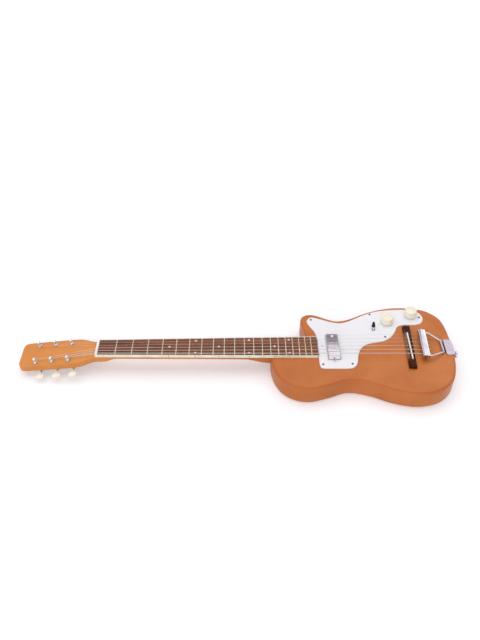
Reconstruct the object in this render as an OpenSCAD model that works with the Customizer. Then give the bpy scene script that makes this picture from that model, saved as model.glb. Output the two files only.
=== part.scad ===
// Six-string solid-body electric guitar, right-handed, lying on its back with its face up.
// X runs along the strings towards the tail, +Y is the treble side and Z is up from the back.
// Lengths along X are written from the nut's front edge and moved to the middle at the end.

/* [Neck and strings] */
// String length from nut to saddle
scale_length = 616; // [612:1:620]
// Number of frets
fret_count = 20; // [18:1:21]
// Fingerboard width at the nut
nut_width = 42.5; // [42:0.5:44]
// Fingerboard width at its body end
board_end_width = 53.3; // [52:0.1:54]
// Fingerboard thickness
board_t = 6; // [5.5:0.5:7]
// Thickness of the binding strips beside the fingerboard
binding_t = 1.2; // [1:0.1:1.5]
// Depth of the neck wood behind the nut
neck_depth = 14.5; // [14:0.5:16]
// String spread at the nut
nut_spread = 36; // [34:0.5:37]
// String spread at the saddle
saddle_spread = 53; // [51:0.5:54]

/* [Headstock] */
// Backward tilt of the headstock in degrees
head_angle = 6; // [5:0.5:7]
// Headstock length from the nut to its tip
head_length = 154.5; // [152:0.5:156]
// Headstock thickness
head_t = 14.5; // [14:0.5:15]
// Distance of the tuner posts from the middle line
post_v = 22.5; // [22:0.1:23]

/* [Body] */
// Body depth
body_t = 42; // [40:1:44]
// Radius of the rounded body edges
edge_r = 5; // [4:0.5:6]
// Half of the body width at the lower bout
half_width = 119; // [117:1:121]
// Height of the output socket above the back
jack_z = 23; // [21:1:24]

/* [Hardware] */
// Pickguard thickness
guard_t = 2.5; // [2:0.1:3]
// Knob diameter
knob_d = 25; // [24:0.5:26]
// Knob height
knob_h = 15.5; // [14:0.5:16]
// Height of the saddle's top above the fingerboard
saddle_rise = 6; // [5.5:0.5:6.5]
// Lean of the toggle lever in degrees
lever_lean = 26; // [22:1:28]

/* [Hidden] */
$fn = 48;
board_z = body_t + board_t;
guard_z = body_t + guard_t;
fret_r = 0.9;
nut_t = 5;
board_end = 434.5;
join_x = fret_x(14);
heel_half = 25.6;
heel_floor = 20;
tenon_end = 430;
tail_x = join_x + 363;
saddle_x = scale_length + 0.8;
saddle_z = board_z + saddle_rise;
nut_slot_z = board_z + fret_r + 0.4;

// Pin at the tail: the middle of its body hole and how far it stands out
pin_z = body_t / 2;
pin_out = 11;
plate_t = 1.6;
head_tip_x = -nut_t - head_length * cos(head_angle);
mid_x = (head_tip_x + tail_x + plate_t + pin_out) / 2;

// Tuners: places along the headstock, and heights from its face
post_u = [54, 87, 120];
post_r = 3;
waist_r = 2.6;
tuner_plate_t = 1;
gear_teeth = 14;
gear_r = 4.9;
gear_half = 1.3;
worm_r = 2.6;
worm_x = gear_r + worm_r;
worm_crest = 3.05;
worm_root = 1.85;
worm_pitch = 2 * PI * gear_r / gear_teeth;
worm_len = 7.4;
worm_w = -head_t - tuner_plate_t - worm_crest - 0.35;
shaft_r = 1.55;
lug_in = 4.4;
lug_t = 1.4;
button_y = 13.5;
plate_screw_u = [37.5, 68.5, 102, 129];

// String diameters from the thinnest to the thickest, and the turns of each on its post
string_d = [0.3, 0.4, 0.5, 0.75, 0.95, 1.2];
string_turns = [3.5, 3.5, 3.5, 2.5, 2.5, 2.5];
turn_gap = 0.5;
loop_rings = 24;

// Controls and screws on the pickguard, as [x, y] from the nut
tone_at = [584, 70.5];
volume_at = [636, 90.2];
switch_at = [553, 48];
guard_screws = [[428, 79], [552, 94], [653, 84], [574, 28], [442, -46], [499, -45], [444.5, 3]];
jack_x = 618;
switch_z = guard_z + 0.5;
nut_h = 2.5;
pot_r = 12;
knob_gap = 2;

// Pickup
pickup_x = 465.7;
pickup_w = 24.4;
pickup_l = 69.5;
pickup_wall = 0.8;
pickup_top = guard_z + 6;
pickup_base = body_t - 4;
end_slope = 3;
ear_end = 40.3;
ear_w = 5.6;
ear_hole = 37.4;
pole_y = 25;

// Bridge and tailpiece
bridge_l = 112.5;
bridge_w = 15;
bridge_h = 9;
bridge_at = [saddle_x + 0.65, -0.4];
bridge_turn = -3.1;
saddle_t = 2.6;
saddle_l = 70;
saddle_off = -3.9;
saddle_turn = -1.3;
string_shift = -0.6;
bar_x0 = 637.7;
bar_x1 = 652.3;
bar_half = 36;
bar_r = 1.8;
bar_top = body_t + 16.5;
bar_fall = 2.5;
bar_turn = -2.6;
bar_mid = (bar_x0 + bar_x1) / 2;
wire_y = 31;
bar_front_z = body_t + 4.5;
bar_rear_z = body_t + 8;
bar_string_z = body_t + 10.6;
ball_r = 1.9;
wire_r = 1.6;
barrel_r = 3;
hinge_x = tail_x - 22;
hinge_z = body_t + barrel_r + 0.4;
hinge_half = 13;
bend_r = 2;

// Body outline, from the heel round the bass side, the tail and the treble side
// Each point is [distance from the neck joint, height across the body]
body_points = [
  [0, -16], [0, -30], [3, -48], [9, -66], [22, -86], [44, -101], [72, -106], [108, -97],
  [147, -84], [188, -92], [230, -110], [275, -half_width], [315, -111], [343, -88], [355.5, -60],
  [361.5, -28], [362.8, 2], [362.8, 34], [361, 58], [355.5, 82], [343.5, 98], [322, 112],
  [276, half_width], [235, 114], [199, 101.5], [167, 85.5], [141, 79.5], [119, 86.5], [100, 96],
  [86, 99.5], [72, 95.5], [65.2, 84], [66.6, 66], [69.8, 46], [68.5, 31], [58, heel_half],
  [34, heel_half], [12, heel_half], [2, 20], [0, 4]
];

// Pickguard outline, round from the horn
guard_points = [
  [419, 76], [424, 61], [432.5, 44], [435.6, 24], [435.4, 0], [435.4, -26], [436, -48], [442, -55],
  [465, -56], [494, -55.5], [504, -51], [510, -40], [515, -18], [524, 0], [540, 10.5],
  [566, 16.5], [584, 26.5], [596, 42], [603, 56.5], [615, 62.5], [642, 63.5], [656, 70],
  [661, 86], [652, 102], [630, 108.5], [600, 108.5], [565, 103.5], [535, 91], [508, 76],
  [488, 69.5], [470, 72.5], [446, 82], [429, 87]
];

// Control cavity under the pickguard
cavity_points = [
  [536, 34], [562, 30], [580, 38], [592, 54], [606, 68], [646, 70], [654, 80], [654, 94],
  [642, 104], [600, 102], [565, 95], [540, 84]
];
cavity_floor = 9;

// Half width of the headstock at distances from the nut
head_halves = [
  [0, 21.3], [6, 22.2], [12, 24.2], [23, 28.7], [32, 31.4], [40, 32.6], [52, 33], [64, 33],
  [82, 32.8], [102, 32.6], [123, 32.4], [140, 32], [148, 30.6], [152, 27.6], [154.5, 21]
];

// Distance of a fret from the nut
function fret_x(n) = scale_length * (1 - pow(2, -n / 12));

// Half of the fingerboard width at a distance from the nut
function board_half(x) = (nut_width + (board_end_width - nut_width) * x / board_end) / 2;

// Smooth step from 0 to 1 as x goes from a to b
function ease(x, a, b) = let (t = min(1, max(0, (x - a) / (b - a)))) t * t * (3 - 2 * t);

// Point on the smooth curve that passes through b and c, between its neighbours a and d
function curve_point(a, b, c, d, t) =
  (2 * b + (c - a) * t + (2 * a - 5 * b + 4 * c - d) * t * t + (3 * b - a - 3 * c + d) * t * t * t) / 2;

// Closed smooth outline through a list of points, with steps points for each
function outline(p, steps) = let (n = len(p)) [
  for (i = [0 : n - 1], j = [0 : steps - 1])
    curve_point(p[(i + n - 1) % n], p[i], p[(i + 1) % n], p[(i + 2) % n], j / steps)
];

// Outline moved inwards by d along its normals
function inset(p, d) = let (n = len(p)) [
  for (i = [0 : n - 1])
    let (t = p[(i + 1) % n] - p[(i + n - 1) % n], s = norm(t)) p[i] - d / s * [t[1], -t[0]]
];

// Rectangle with round corners, as points
function round_rect(w, l, r) = [
  for (c = [0 : 3], a = [0 : 30 : 90])
    let (sx = c == 0 || c == 3 ? 1 : -1, sy = c < 2 ? 1 : -1)
    [sx * (w / 2 - r), sy * (l / 2 - r)] + r * [cos(a + 90 * c), sin(a + 90 * c)]
];

// Arc as points, about a centre
function arc(centre, r, from, to, steps) = [
  for (i = [0 : steps]) let (a = from + (to - from) * i / steps) centre + r * [cos(a), sin(a)]
];

// Path with each inner corner rounded, starting about r before the corner
function rounded_path(p, r, steps) = [
  p[0],
  for (i = [1 : len(p) - 2])
    let (a = p[i] + r * unit(p[i - 1] - p[i]), b = p[i] + r * unit(p[i + 1] - p[i]))
    for (j = [0 : steps]) let (t = j / steps) (1 - t) * (1 - t) * a + 2 * t * (1 - t) * p[i] + t * t * b,
  p[len(p) - 1]
];

function unit(v) = v / norm(v);

// Rings of a tube of radius r carried along a path, level with the ground plane
function tube_rings(path, r, sides) = let (n = len(path)) [
  for (i = [0 : n - 1])
    let (
      t = unit(path[min(n - 1, i + 1)] - path[max(0, i - 1)]),
      side = unit(cross(t, [0, 0, 1])),
      up = cross(side, t)
    )
    [for (k = [0 : sides - 1]) let (a = 360 * k / sides) path[i] + r * (cos(a) * side + sin(a) * up)]
];

// Solid through a row of rings that each run anticlockwise, seen from the far end of the row
module loft(rings) {
  n = len(rings[0]);
  last = len(rings) - 1;
  sides = [
    for (i = [0 : last - 1], j = [0 : n - 1])
      let (a = i * n + j, b = i * n + (j + 1) % n)
      each [[a, a + n, b + n], [a, b + n, b]]
  ];
  caps = [[for (j = [0 : n - 1]) j], [for (j = [n - 1 : -1 : 0]) last * n + j]];
  polyhedron(points = [for (r = rings) each r], faces = concat(sides, caps));
}

// Tube along a path: the rings turn the other way round, so the row is taken from its end
module tube(path, r, sides) {
  loft([for (ring = tube_rings(path, r, sides)) [for (k = [sides - 1 : -1 : 0]) ring[k]]]);
}

// From the nut's front edge to the middle of the whole instrument
module from_nut() {
  translate([-mid_x, 0, 0]) children();
}

// Frame on the headstock's face: x towards the body, z square to the face
module on_head() {
  from_nut() translate([-nut_t, 0, body_t]) rotate([0, -head_angle, 0]) children();
}

// Frame at a tuner, the bass side being the treble side's mirror image
module at_tuner(i) {
  if (tuner_side(i) > 0) on_head() translate([-tuner_u(i), post_v, 0]) children();
  else mirror([0, 1, 0]) on_head() translate([-tuner_u(i), post_v, 0]) children();
}

function tuner_side(i) = i <= 3 ? 1 : -1;
function tuner_u(i) = post_u[i <= 3 ? i - 1 : 6 - i];

// Headstock point to a place measured from the nut
function head_to_nut(p) = [
  -nut_t + p[0] * cos(head_angle) - p[2] * sin(head_angle),
  p[1],
  body_t + p[0] * sin(head_angle) + p[2] * cos(head_angle)
];

function nut_to_head(p) = let (x = p[0] + nut_t, z = p[2] - body_t) [
  x * cos(head_angle) + z * sin(head_angle),
  p[1],
  z * cos(head_angle) - x * sin(head_angle)
];

// Body: a slab with round edges, pocketed for the neck, the pickup and the controls
module body() {
  color("peru") from_nut() difference() {
    body_blank();
    neck_pocket();
    pickup_pocket();
    translate([0, 0, cavity_floor]) linear_extrude(body_t) polygon(cavity_points);
    wire_channel();
    jack_hole();
    translate([tail_x - 20, 0, pin_z]) rotate([0, 90, 0]) cylinder(r = 3.2, h = 30);
  }
}

// Slab with its lower and upper edges rounded off
module body_blank() {
  edge = [for (p = outline(body_points, 4)) [p[0] + join_x, p[1]]];
  difference() {
    linear_extrude(body_t) polygon(edge);
    edge_cutter(edge);
    translate([0, 0, body_t]) mirror([0, 0, 1]) edge_cutter(edge);
  }
}

// Ring round an outline at z = 0 whose inner side is the rounded edge
// The arc's end chords run on past the slab's faces
module edge_cutter(edge) {
  past = 0.2;
  round_edge = [for (a = [0 : 30 : 90]) edge_r * [1 - cos(a), 1 - sin(a)]];
  profile = [
    round_edge[0] + past * (round_edge[0] - round_edge[1]), round_edge[1], round_edge[2],
    round_edge[3] + past * (round_edge[3] - round_edge[2]), [-1.5, -1.5]
  ];
  rings = [for (q = profile) [for (p = inset(edge, q[0])) [p[0], p[1], q[1]]]];
  n = len(edge);
  faces = [
    for (i = [0 : 4], j = [0 : n - 1])
      let (a = i * n, b = (i + 1) % 5 * n, k = (j + 1) % n)
      each [[a + j, b + j, b + k], [a + j, b + k, a + k]]
  ];
  polyhedron(points = [for (r = rings) each r], faces = faces);
}

// Pocket for the neck's tenon, with a glue gap at its sides and end
module neck_pocket() {
  gap = 0.05;
  translate([join_x - 20, -heel_half - gap, heel_floor])
    cube([tenon_end + gap - join_x + 20, 2 * (heel_half + gap), body_t]);
}

module pickup_pocket() {
  translate([pickup_x, 0, body_t - 14])
    linear_extrude(20) polygon(round_rect(pickup_w + 6, pickup_l + 4, 4));
}

// Groove for the pickup's lead, from its pocket to the control cavity
module wire_channel() {
  translate([pickup_x + 10, 28, body_t - 12]) cube([72, 10, 20]);
}

// Socket hole in the treble rim with a round recess for the nut
module jack_hole() {
  translate([jack_x, 0, jack_z]) rotate([-90, 0, 0]) {
    translate([0, 0, 90]) cylinder(r = 4.8, h = 40);
    translate([0, 0, half_width - 6]) cylinder(r = 11, h = 20);
  }
}

// Neck: one lofted stick from the headstock's tip to the heel, with a square tenon
module neck() {
  color("peru") difference() {
    from_nut() union() {
      loft(concat(head_sections(), neck_sections()));
      translate([join_x, -heel_half, heel_floor])
        cube([tenon_end - join_x, 2 * heel_half, body_t - heel_floor]);
    }
    from_nut() translate([6, -3, body_t - 11]) cube([394, 6, 20]);
    for (i = [1 : 6]) at_tuner(i) translate([0, 0, -head_t - 5]) cylinder(r = 4, h = head_t + 10);
  }
}

// Section of the neck: flat on top and a rounded box below, squarer as the power grows
function neck_section(x, top, half, depth, power) = [
  for (t = [180 : 11.25 : 360])
    [
      x,
      half * sign(round(cos(t) * 1e6)) * pow(abs(cos(t)), 2 / power),
      top - depth * pow(abs(sin(t)), 2 / power)
    ]
];

function head_sections() = [
  for (i = [len(head_halves) - 1 : -1 : 1])
    let (u = head_halves[i][0])
    neck_section(
      -nut_t - u * cos(head_angle), body_t - u * sin(head_angle), head_halves[i][1],
      head_t / cos(head_angle), 30
    )
];

// The back goes from flat behind the nut to a round grip, and deepens towards the heel
function neck_sections() = [
  for (x = [-nut_t, 0, 8, 18, 30, 45, 80, 140, 200, 260, 300, 315, 328, join_x])
    neck_section(
      x, body_t, board_half(max(0, x)),
      neck_depth + 1.5 * x / join_x + 5.5 * ease(x, 290, join_x),
      2.2 + 27.8 * pow(1 - ease(x, -nut_t, 45), 3) + 3 * ease(x, 290, join_x)
    )
];

module neck_rod() {
  color("dimgray") from_nut() translate([8, -2.9, body_t - 10.9]) cube([390, 5.8, 10.4]);
}

module fretboard() {
  color("saddlebrown") from_nut() difference() {
    translate([0, 0, body_t]) linear_extrude(board_t) polygon([
      [0, board_half(0) - binding_t], [0, -board_half(0) + binding_t],
      [board_end, -board_half(board_end) + binding_t], [board_end, board_half(board_end) - binding_t]
    ]);
    for (n = [1 : fret_count]) fret_tang(n, 0.02);
    dot_places() cylinder(r = 2.5, h = 4, center = true);
  }
}

// Tang of a fret, or its slot when grown
module fret_tang(n, grow) {
  half = board_half(fret_x(n)) - binding_t - 0.03;
  translate([fret_x(n) - 0.3 - grow, -half - grow, board_z - 1.8 - grow])
    cube([0.6 + 2 * grow, 2 * half + 2 * grow, 1.8 + grow + 0.01]);
}

// Middle of the space behind a fret
function between_frets(n) = (fret_x(n - 1) + fret_x(n)) / 2;

module dot_places() {
  for (n = [5, 9, 15]) translate([between_frets(n), 0, board_z]) children();
  for (n = [7, 12, 17], s = [-1, 1])
    translate([between_frets(n), s * 0.7 * board_half(between_frets(n)), board_z]) children();
}

module position_dots() {
  color("whitesmoke") from_nut() dot_places() translate([0, 0, -1.98]) cylinder(r = 2.49, h = 2);
}

module side_dot_places() {
  for (n = [5, 7, 9, 12, 15, 17])
    translate([between_frets(n), -board_half(between_frets(n)), body_t + 0.6 * board_t]) children();
}

module side_dots() {
  color("black") from_nut() side_dot_places()
    translate([0, 0.02, 0]) rotate([-90, 0, 0]) cylinder(r = 1.1, h = 0.8);
}

module fretboard_binding() {
  color("ivory") from_nut() difference() {
    for (s = [-1, 1]) translate([0, 0, body_t]) linear_extrude(board_t) polygon([
      [0, s * board_half(0)], [0, s * (board_half(0) - binding_t)],
      [board_end, s * (board_half(board_end) - binding_t)], [board_end, s * board_half(board_end)]
    ]);
    side_dot_places() rotate([-90, 0, 0]) cylinder(r = 1.12, h = 1.7, center = true);
  }
}

// Frets: a half-round crown over the whole board and a tang between the bindings
module frets() {
  color("silver") from_nut() for (n = [1 : fret_count]) {
    half = board_half(fret_x(n));
    union() {
      difference() {
        translate([fret_x(n), half, board_z]) rotate([90, 0, 0]) cylinder(r = fret_r, h = 2 * half);
        translate([fret_x(n) - 3, -half - 1, board_z - 4]) cube([6, 2 * half + 2, 4]);
      }
      fret_tang(n, 0);
    }
  }
}

// Nut: a bone block that slopes to the headstock, slotted along each string
module nut() {
  color("ivory") from_nut() difference() {
    translate([0, nut_width / 2, 0]) rotate([90, 0, 0]) linear_extrude(nut_width) polygon([
      [0, body_t], [0, board_z + 2.4], [-1.5, board_z + 2.6], [-nut_t, board_z + 0.9], [-nut_t, body_t]
    ]);
    for (i = [1 : 6]) nut_slot(i);
  }
}

module nut_slot(i) {
  d = string_d[i - 1];
  fall = unit(string_turn_start(i) - string_at_nut(i));
  slope = asin(fall[2]);
  yaw = atan2(-fall[1], -fall[0]);
  translate(string_at_nut(i) - [0, 0, d / 2 + 0.04]) rotate([0, 0, yaw]) rotate([0, slope, 0])
    translate([-8, -d / 2 - 0.2, 0]) cube([10, d + 0.4, 6]);
}

module pickguard() {
  color("white") from_nut() translate([0, 0, body_t]) difference() {
    linear_extrude(guard_t) polygon(outline(guard_points, 3));
    translate([pickup_x, 0, -1])
      linear_extrude(8) polygon(round_rect(pickup_w + 0.6, pickup_l + 0.6, 2.3));
    for (p = guard_screws) translate([p[0], p[1], -1]) cylinder(r = 1.5, h = 8);
    for (s = [-1, 1]) translate([pickup_x, s * ear_hole, -1]) cylinder(r = 1.5, h = 8);
    for (p = [tone_at, volume_at]) translate([p[0], p[1], -1]) cylinder(r = 4.1, h = 8);
    translate([switch_at[0], switch_at[1], -1]) cylinder(r = 3.3, h = 8);
  }
}

// Slotted round-head screw standing on z = 0, with its shank below
module screw(head_r, head_h, shank_r, shank_l) {
  difference() {
    rotate_extrude() polygon(concat(
      [[0, -shank_l], [shank_r * 0.4, -shank_l], [shank_r, 1.5 - shank_l], [shank_r, 0], [head_r, 0]],
      [for (a = [0 : 15 : 90]) [head_r * cos(a), 0.35 * head_h + 0.65 * head_h * sin(a)]]
    ));
    translate([0, 0, head_h]) cube([3 * head_r, 0.28 * head_r, head_h], center = true);
  }
}

module pickguard_screws() {
  color("dimgray") from_nut() for (p = guard_screws)
    translate([p[0], p[1], guard_z]) rotate([0, 0, p[0]]) screw(2.6, 1.3, 1.4, 14);
}

// Pickup cover: a drawn metal lid with sloping ends, a pressed line on top and a fixing ear at each end
module pickup_cover() {
  color("gainsboro") from_nut() translate([pickup_x, 0, 0]) difference() {
    union() {
      pickup_lid(0);
      translate([0, 0, guard_z]) linear_extrude(0.9) polygon(round_rect(ear_w, 2 * ear_end, 2.7));
    }
    pickup_lid(pickup_wall);
    difference() {
      pressed_line(pickup_w - 3.6, pickup_l - 2 * end_slope - 3, 1);
      pressed_line(pickup_w - 5.2, pickup_l - 2 * end_slope - 4.6, 0.6);
    }
    for (s = [-1, 1]) {
      translate([0, s * ear_hole, guard_z - 1]) cylinder(r = 1.5, h = 4);
      translate([0, s * pole_y, pickup_top - 3]) cylinder(r = 1.5, h = 6);
    }
  }
}

// Solid shape of the lid, or of its hollow when moved in by the wall: its ends slope in above the guard
module pickup_lid(wall) {
  half = pickup_l / 2 - wall;
  low = wall > 0 ? pickup_base - 1 : pickup_base;
  top = pickup_top - wall;
  bend = guard_z + 1;
  intersection() {
    translate([0, 0, low]) linear_extrude(top - low)
      polygon(round_rect(pickup_w - 2 * wall, 2 * half, 2.4 - wall));
    translate([-pickup_w, 0, 0]) rotate([90, 0, 90]) linear_extrude(2 * pickup_w) polygon([
      [-half, low - 1], [half, low - 1], [half, bend], [half - end_slope, top],
      [end_slope - half, top], [-half, bend]
    ]);
  }
}

module pressed_line(width, length, radius) {
  translate([0, 0, pickup_top - 0.3]) linear_extrude(2) polygon(round_rect(width, length, radius));
}

module pickup_coil() {
  color("black") from_nut() translate([pickup_x, 0, 0]) difference() {
    translate([0, 0, body_t - 1]) linear_extrude(pickup_top - pickup_wall - body_t + 0.9)
      polygon(round_rect(pickup_w - 5, pickup_l - 2 * end_slope - 4, 4));
    for (s = [-1, 1]) translate([0, s * pole_y, body_t - 2]) cylinder(r = 1.45, h = 20);
  }
}

module pickup_magnet() {
  color("gray") from_nut() translate([pickup_x - 4, -29, body_t - 5.05]) cube([8, 58, 4]);
}

module pickup_screws() {
  color("silver") from_nut() for (s = [-1, 1]) {
    translate([pickup_x, s * ear_hole, guard_z + 0.9]) rotate([0, 0, 30]) screw(2.1, 1.2, 1.4, 12);
    translate([pickup_x, s * pole_y, pickup_top]) rotate([0, 0, 70]) screw(2.5, 1.3, 1.4, 5.2);
  }
}

// Bridge base: a rosewood bar with sloping sides and ends, set a little askew and slotted for the saddle
module bridge_base() {
  z = body_t;
  half = bridge_l / 2;
  color("maroon") from_nut() difference() {
    translate([bridge_at[0], bridge_at[1], 0]) rotate([0, 0, bridge_turn]) intersection() {
      translate([0, half, 0]) rotate([90, 0, 0]) linear_extrude(bridge_l) polygon([
        [-0.5 * bridge_w, z], [0.5 * bridge_w, z], [0.5 * bridge_w, z + 5],
        [0.3 * bridge_w, z + bridge_h], [-0.3 * bridge_w, z + bridge_h], [-0.5 * bridge_w, z + 3.5]
      ]);
      translate([-bridge_w, 0, 0]) rotate([90, 0, 90]) linear_extrude(2 * bridge_w) polygon([
        [-half, z], [half, z], [half, z + 5.5], [half - 5, z + bridge_h],
        [5 - half, z + bridge_h], [-half, z + 5.5]
      ]);
    }
    at_saddle() translate([-saddle_t / 2 - 0.02, -saddle_l / 2 - 0.02, z + bridge_h - 5])
      cube([saddle_t + 0.04, saddle_l + 0.04, 20]);
  }
}

// Frame at the middle of the saddle, which slants a little across the strings
module at_saddle() {
  translate([saddle_x, 0, 0]) rotate([0, 0, saddle_turn]) translate([0, saddle_off, 0]) children();
}

module bridge_saddle() {
  color("ivory") from_nut() at_saddle()
    translate([0, saddle_l / 2, 0]) rotate([90, 0, 0]) linear_extrude(saddle_l) polygon(concat(
      [[-saddle_t / 2, body_t + bridge_h - 4.98], [saddle_t / 2, body_t + bridge_h - 4.98]],
      arc([0, saddle_z - saddle_t / 2], saddle_t / 2, 0, 180, 8)
    ));
}

// Frame of the tailpiece bar, which hangs a little askew on its wire
module at_bar() {
  translate([bar_mid, 0, 0]) rotate([0, 0, bar_turn]) translate([-bar_mid, 0, 0]) children();
}

// Point of the bar's frame as a place measured from the nut
function bar_to_nut(p) = let (x = p[0] - bar_mid) [
  bar_mid + x * cos(bar_turn) - p[1] * sin(bar_turn), x * sin(bar_turn) + p[1] * cos(bar_turn), p[2]
];

// Tailpiece bar: a folded channel that falls to the rear, holed in front and slotted behind for the strings
module tailpiece_bar() {
  front = [bar_x0 + bar_r, bar_top - bar_r];
  rear = [bar_x1 - bar_r, bar_top - bar_fall - bar_r];
  crown = 90 - atan(bar_fall / (rear[0] - front[0]));
  inner_r = bar_r - plate_t;
  color("gainsboro") from_nut() at_bar() difference() {
    translate([0, bar_half, 0]) rotate([90, 0, 0]) linear_extrude(2 * bar_half) polygon(concat(
      [[bar_x0, bar_front_z]], arc(front, bar_r, 180, crown, 4), arc(rear, bar_r, crown, 0, 4),
      [[bar_x1, bar_rear_z], [bar_x1 - plate_t, bar_rear_z]],
      arc(rear, inner_r, 0, crown, 4), arc(front, inner_r, crown, 180, 4), [[bar_x0 + plate_t, bar_front_z]]
    ));
    for (i = [1 : 6]) {
      translate([bar_x0 - 1, saddle_y(i), bar_string_z + 0.8]) rotate([0, 90, 0]) cylinder(r = 1.5, h = 4);
      translate([bar_x1 - 4, saddle_y(i) - 1, bar_rear_z - 1])
        cube([8, 2, bar_string_z + 1.7 - bar_rear_z]);
    }
    for (s = [-1, 1]) translate([bar_x1 - 4, s * wire_y, bar_string_z])
      rotate([0, 90, 0]) cylinder(r = wire_r + 0.05, h = 8);
  }
}

// Trapeze: one bent wire from the bar to its hinge rod and back
module tailpiece_frame() {
  corners = concat(
    [for (x = [bar_x0 + 3, bar_x1 + 5]) bar_to_nut([x, wire_y, bar_string_z])],
    [
      [hinge_x - 3, 17, hinge_z + 0.8], [hinge_x, 16, hinge_z], [hinge_x, -16, hinge_z],
      [hinge_x - 3, -17, hinge_z + 0.8]
    ],
    [for (x = [bar_x1 + 5, bar_x0 + 3]) bar_to_nut([x, -wire_y, bar_string_z])]
  );
  color("gainsboro") from_nut() tube(rounded_path(corners, 1.5, 3), wire_r, 12);
}

// Hinge plate: hooked round the rod, flat on the top and bent down over the tail
module tailpiece_hinge() {
  bend = [tail_x - bend_r, body_t - bend_r];
  shoulder_z = body_t - edge_r;
  foot_z = 10;
  color("gainsboro") from_nut() difference() {
    union() {
      intersection() {
        translate([0, 30, 0]) rotate([90, 0, 0]) linear_extrude(60) polygon(concat(
          [[hinge_x, body_t + 0.05]], arc(bend, bend_r + 0.05, 90, 0, 6),
          [[tail_x + 0.05, foot_z], [tail_x + plate_t, foot_z]],
          arc(bend, bend_r + plate_t, 0, 90, 6), [[hinge_x, body_t + plate_t]]
        ));
        union() {
          translate([0, 0, shoulder_z]) linear_extrude(20) polygon([
            [hinge_x, -hinge_half], [tail_x - 16, -18], [tail_x - 10, -21.5], [tail_x - 4, -20],
            [tail_x + 9, -17], [tail_x + 9, 17], [tail_x - 4, 20], [tail_x - 10, 21.5],
            [tail_x - 16, 18], [hinge_x, hinge_half]
          ]);
          translate([tail_x - 20, 0, 0]) rotate([90, 0, 90]) linear_extrude(40) polygon([
            [-18, shoulder_z + 0.1], [-16, 26], [-9, foot_z], [9, foot_z], [16, 26], [18, shoulder_z + 0.1]
          ]);
        }
      }
      translate([hinge_x, hinge_half, hinge_z]) rotate([90, 0, 0])
        cylinder(r = barrel_r, h = 2 * hinge_half);
    }
    translate([hinge_x, 30, hinge_z]) rotate([90, 0, 0]) cylinder(r = wire_r + 0.05, h = 60);
    hook_mouth();
    translate([tail_x - 10, 0, pin_z]) rotate([0, 90, 0]) cylinder(r = 3.3, h = 20);
    tail_screw_places() cylinder(r = 1.6, h = 10, center = true);
  }
}

// Opening of the hook, above and behind the rod
module hook_mouth() {
  translate([hinge_x + 0.5, -hinge_half - 1, hinge_z + 0.7]) cube([6, 2 * hinge_half + 2, 6]);
}

module tail_screw_places() {
  for (s = [-1, 1]) translate([tail_x + plate_t, s * 9.5, body_t - 10]) rotate([0, 90, 0]) children();
}

module tailpiece_screws() {
  color("silver") from_nut() tail_screw_places() screw(2.6, 1.4, 1.5, 16);
}

// End pin: a turned strap button that goes through the hinge plate into the tail
module end_pin() {
  color("gainsboro") from_nut() translate([tail_x + plate_t, 0, pin_z]) rotate([0, 90, 0])
    rotate_extrude() polygon([
      [0, -20], [1.5, -20], [3.15, -16], [3.15, 0], [6, 0], [6, 1], [4, 3], [3.8, 5.5], [5, 7], [6.5, 7.6],
      [6.5, pin_out - 0.8], [5.6, pin_out], [0, pin_out]
    ]);
}

// Place of a string across the nut and across the saddle
function nut_y(i) = nut_spread / 2 - nut_spread / 5 * (i - 1);
function saddle_y(i) = string_shift + saddle_spread / 2 - saddle_spread / 5 * (i - 1);

function string_at_saddle(i) =
  [saddle_x - saddle_y(i) * tan(saddle_turn), saddle_y(i), saddle_z + string_d[i - 1] / 2 + 0.03];

function string_at_nut(i) = [0, nut_y(i), nut_slot_z + string_d[i - 1] / 2 + 0.02];

// Where a string first touches its winding, on the post's inner side
function wind_r(i) = waist_r + 0.2 + string_d[i - 1] / 2;
function wind_pitch(i) = string_d[i - 1] + turn_gap;
wind_w = 3.7;
function string_aim(i) =
  let (
    a = nut_to_head(string_at_nut(i)),
    d = [-tuner_u(i) - a[0], tuner_side(i) * post_v - a[1]]
  )
  atan2(d[1], d[0]) + tuner_side(i) * asin(wind_r(i) / norm(d));

// Point on a winding after some turns, climbing one pitch a turn
function winding_point(i, turn) =
  let (s = tuner_side(i), a = string_aim(i) + s * 90 - s * 360 * turn)
  head_to_nut([
    -tuner_u(i) + wind_r(i) * cos(a),
    s * post_v + wind_r(i) * sin(a),
    wind_w + wind_pitch(i) * turn
  ]);

function string_turn_start(i) = winding_point(i, 0);
function winding_path(i) = [
  for (k = [0 : round(loop_rings * string_turns[i - 1])]) winding_point(i, k / loop_rings)
];

// Straight end of a winding, one string diameter long
function winding_end(i) =
  let (n = string_turns[i - 1], a = winding_point(i, n), b = winding_point(i, n - 0.02))
  a + string_d[i - 1] * unit(a - b);

// Least gap between points of a winding that are at least half a turn apart
function winding_gap(i) =
  let (p = winding_path(i), half = loop_rings / 2)
  min([for (j = [0 : len(p) - 1 - half], k = [j + half : len(p) - 1]) norm(p[j] - p[k])]) - string_d[i - 1];

// String: from its ball end over the saddle and the nut to its winding
module guitar_string(i) {
  d = string_d[i - 1];
  path = concat(
    [bar_to_nut([bar_x1 + 0.5, saddle_y(i), bar_string_z]), string_at_saddle(i), string_at_nut(i)],
    winding_path(i), [winding_end(i)]
  );
  echo(str("string ", i, " winding, least gap to itself in mm: "), winding_gap(i));
  color(i > 3 ? "darkkhaki" : "silver") from_nut() {
    tube(path, d / 2, 6);
    at_bar() translate([bar_x1 + ball_r + 0.05, saddle_y(i) - 1.7, bar_string_z]) rotate([-90, 0, 0])
      cylinder(r = ball_r, h = 3.4);
  }
}

// Tuner plate: one strip for three tuners, with a pair of lugs for each worm
module tuner_plate_treble() {
  color("silver") tuner_plate(1);
}

module tuner_plate_bass() {
  color("silver") tuner_plate(4);
}

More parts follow.
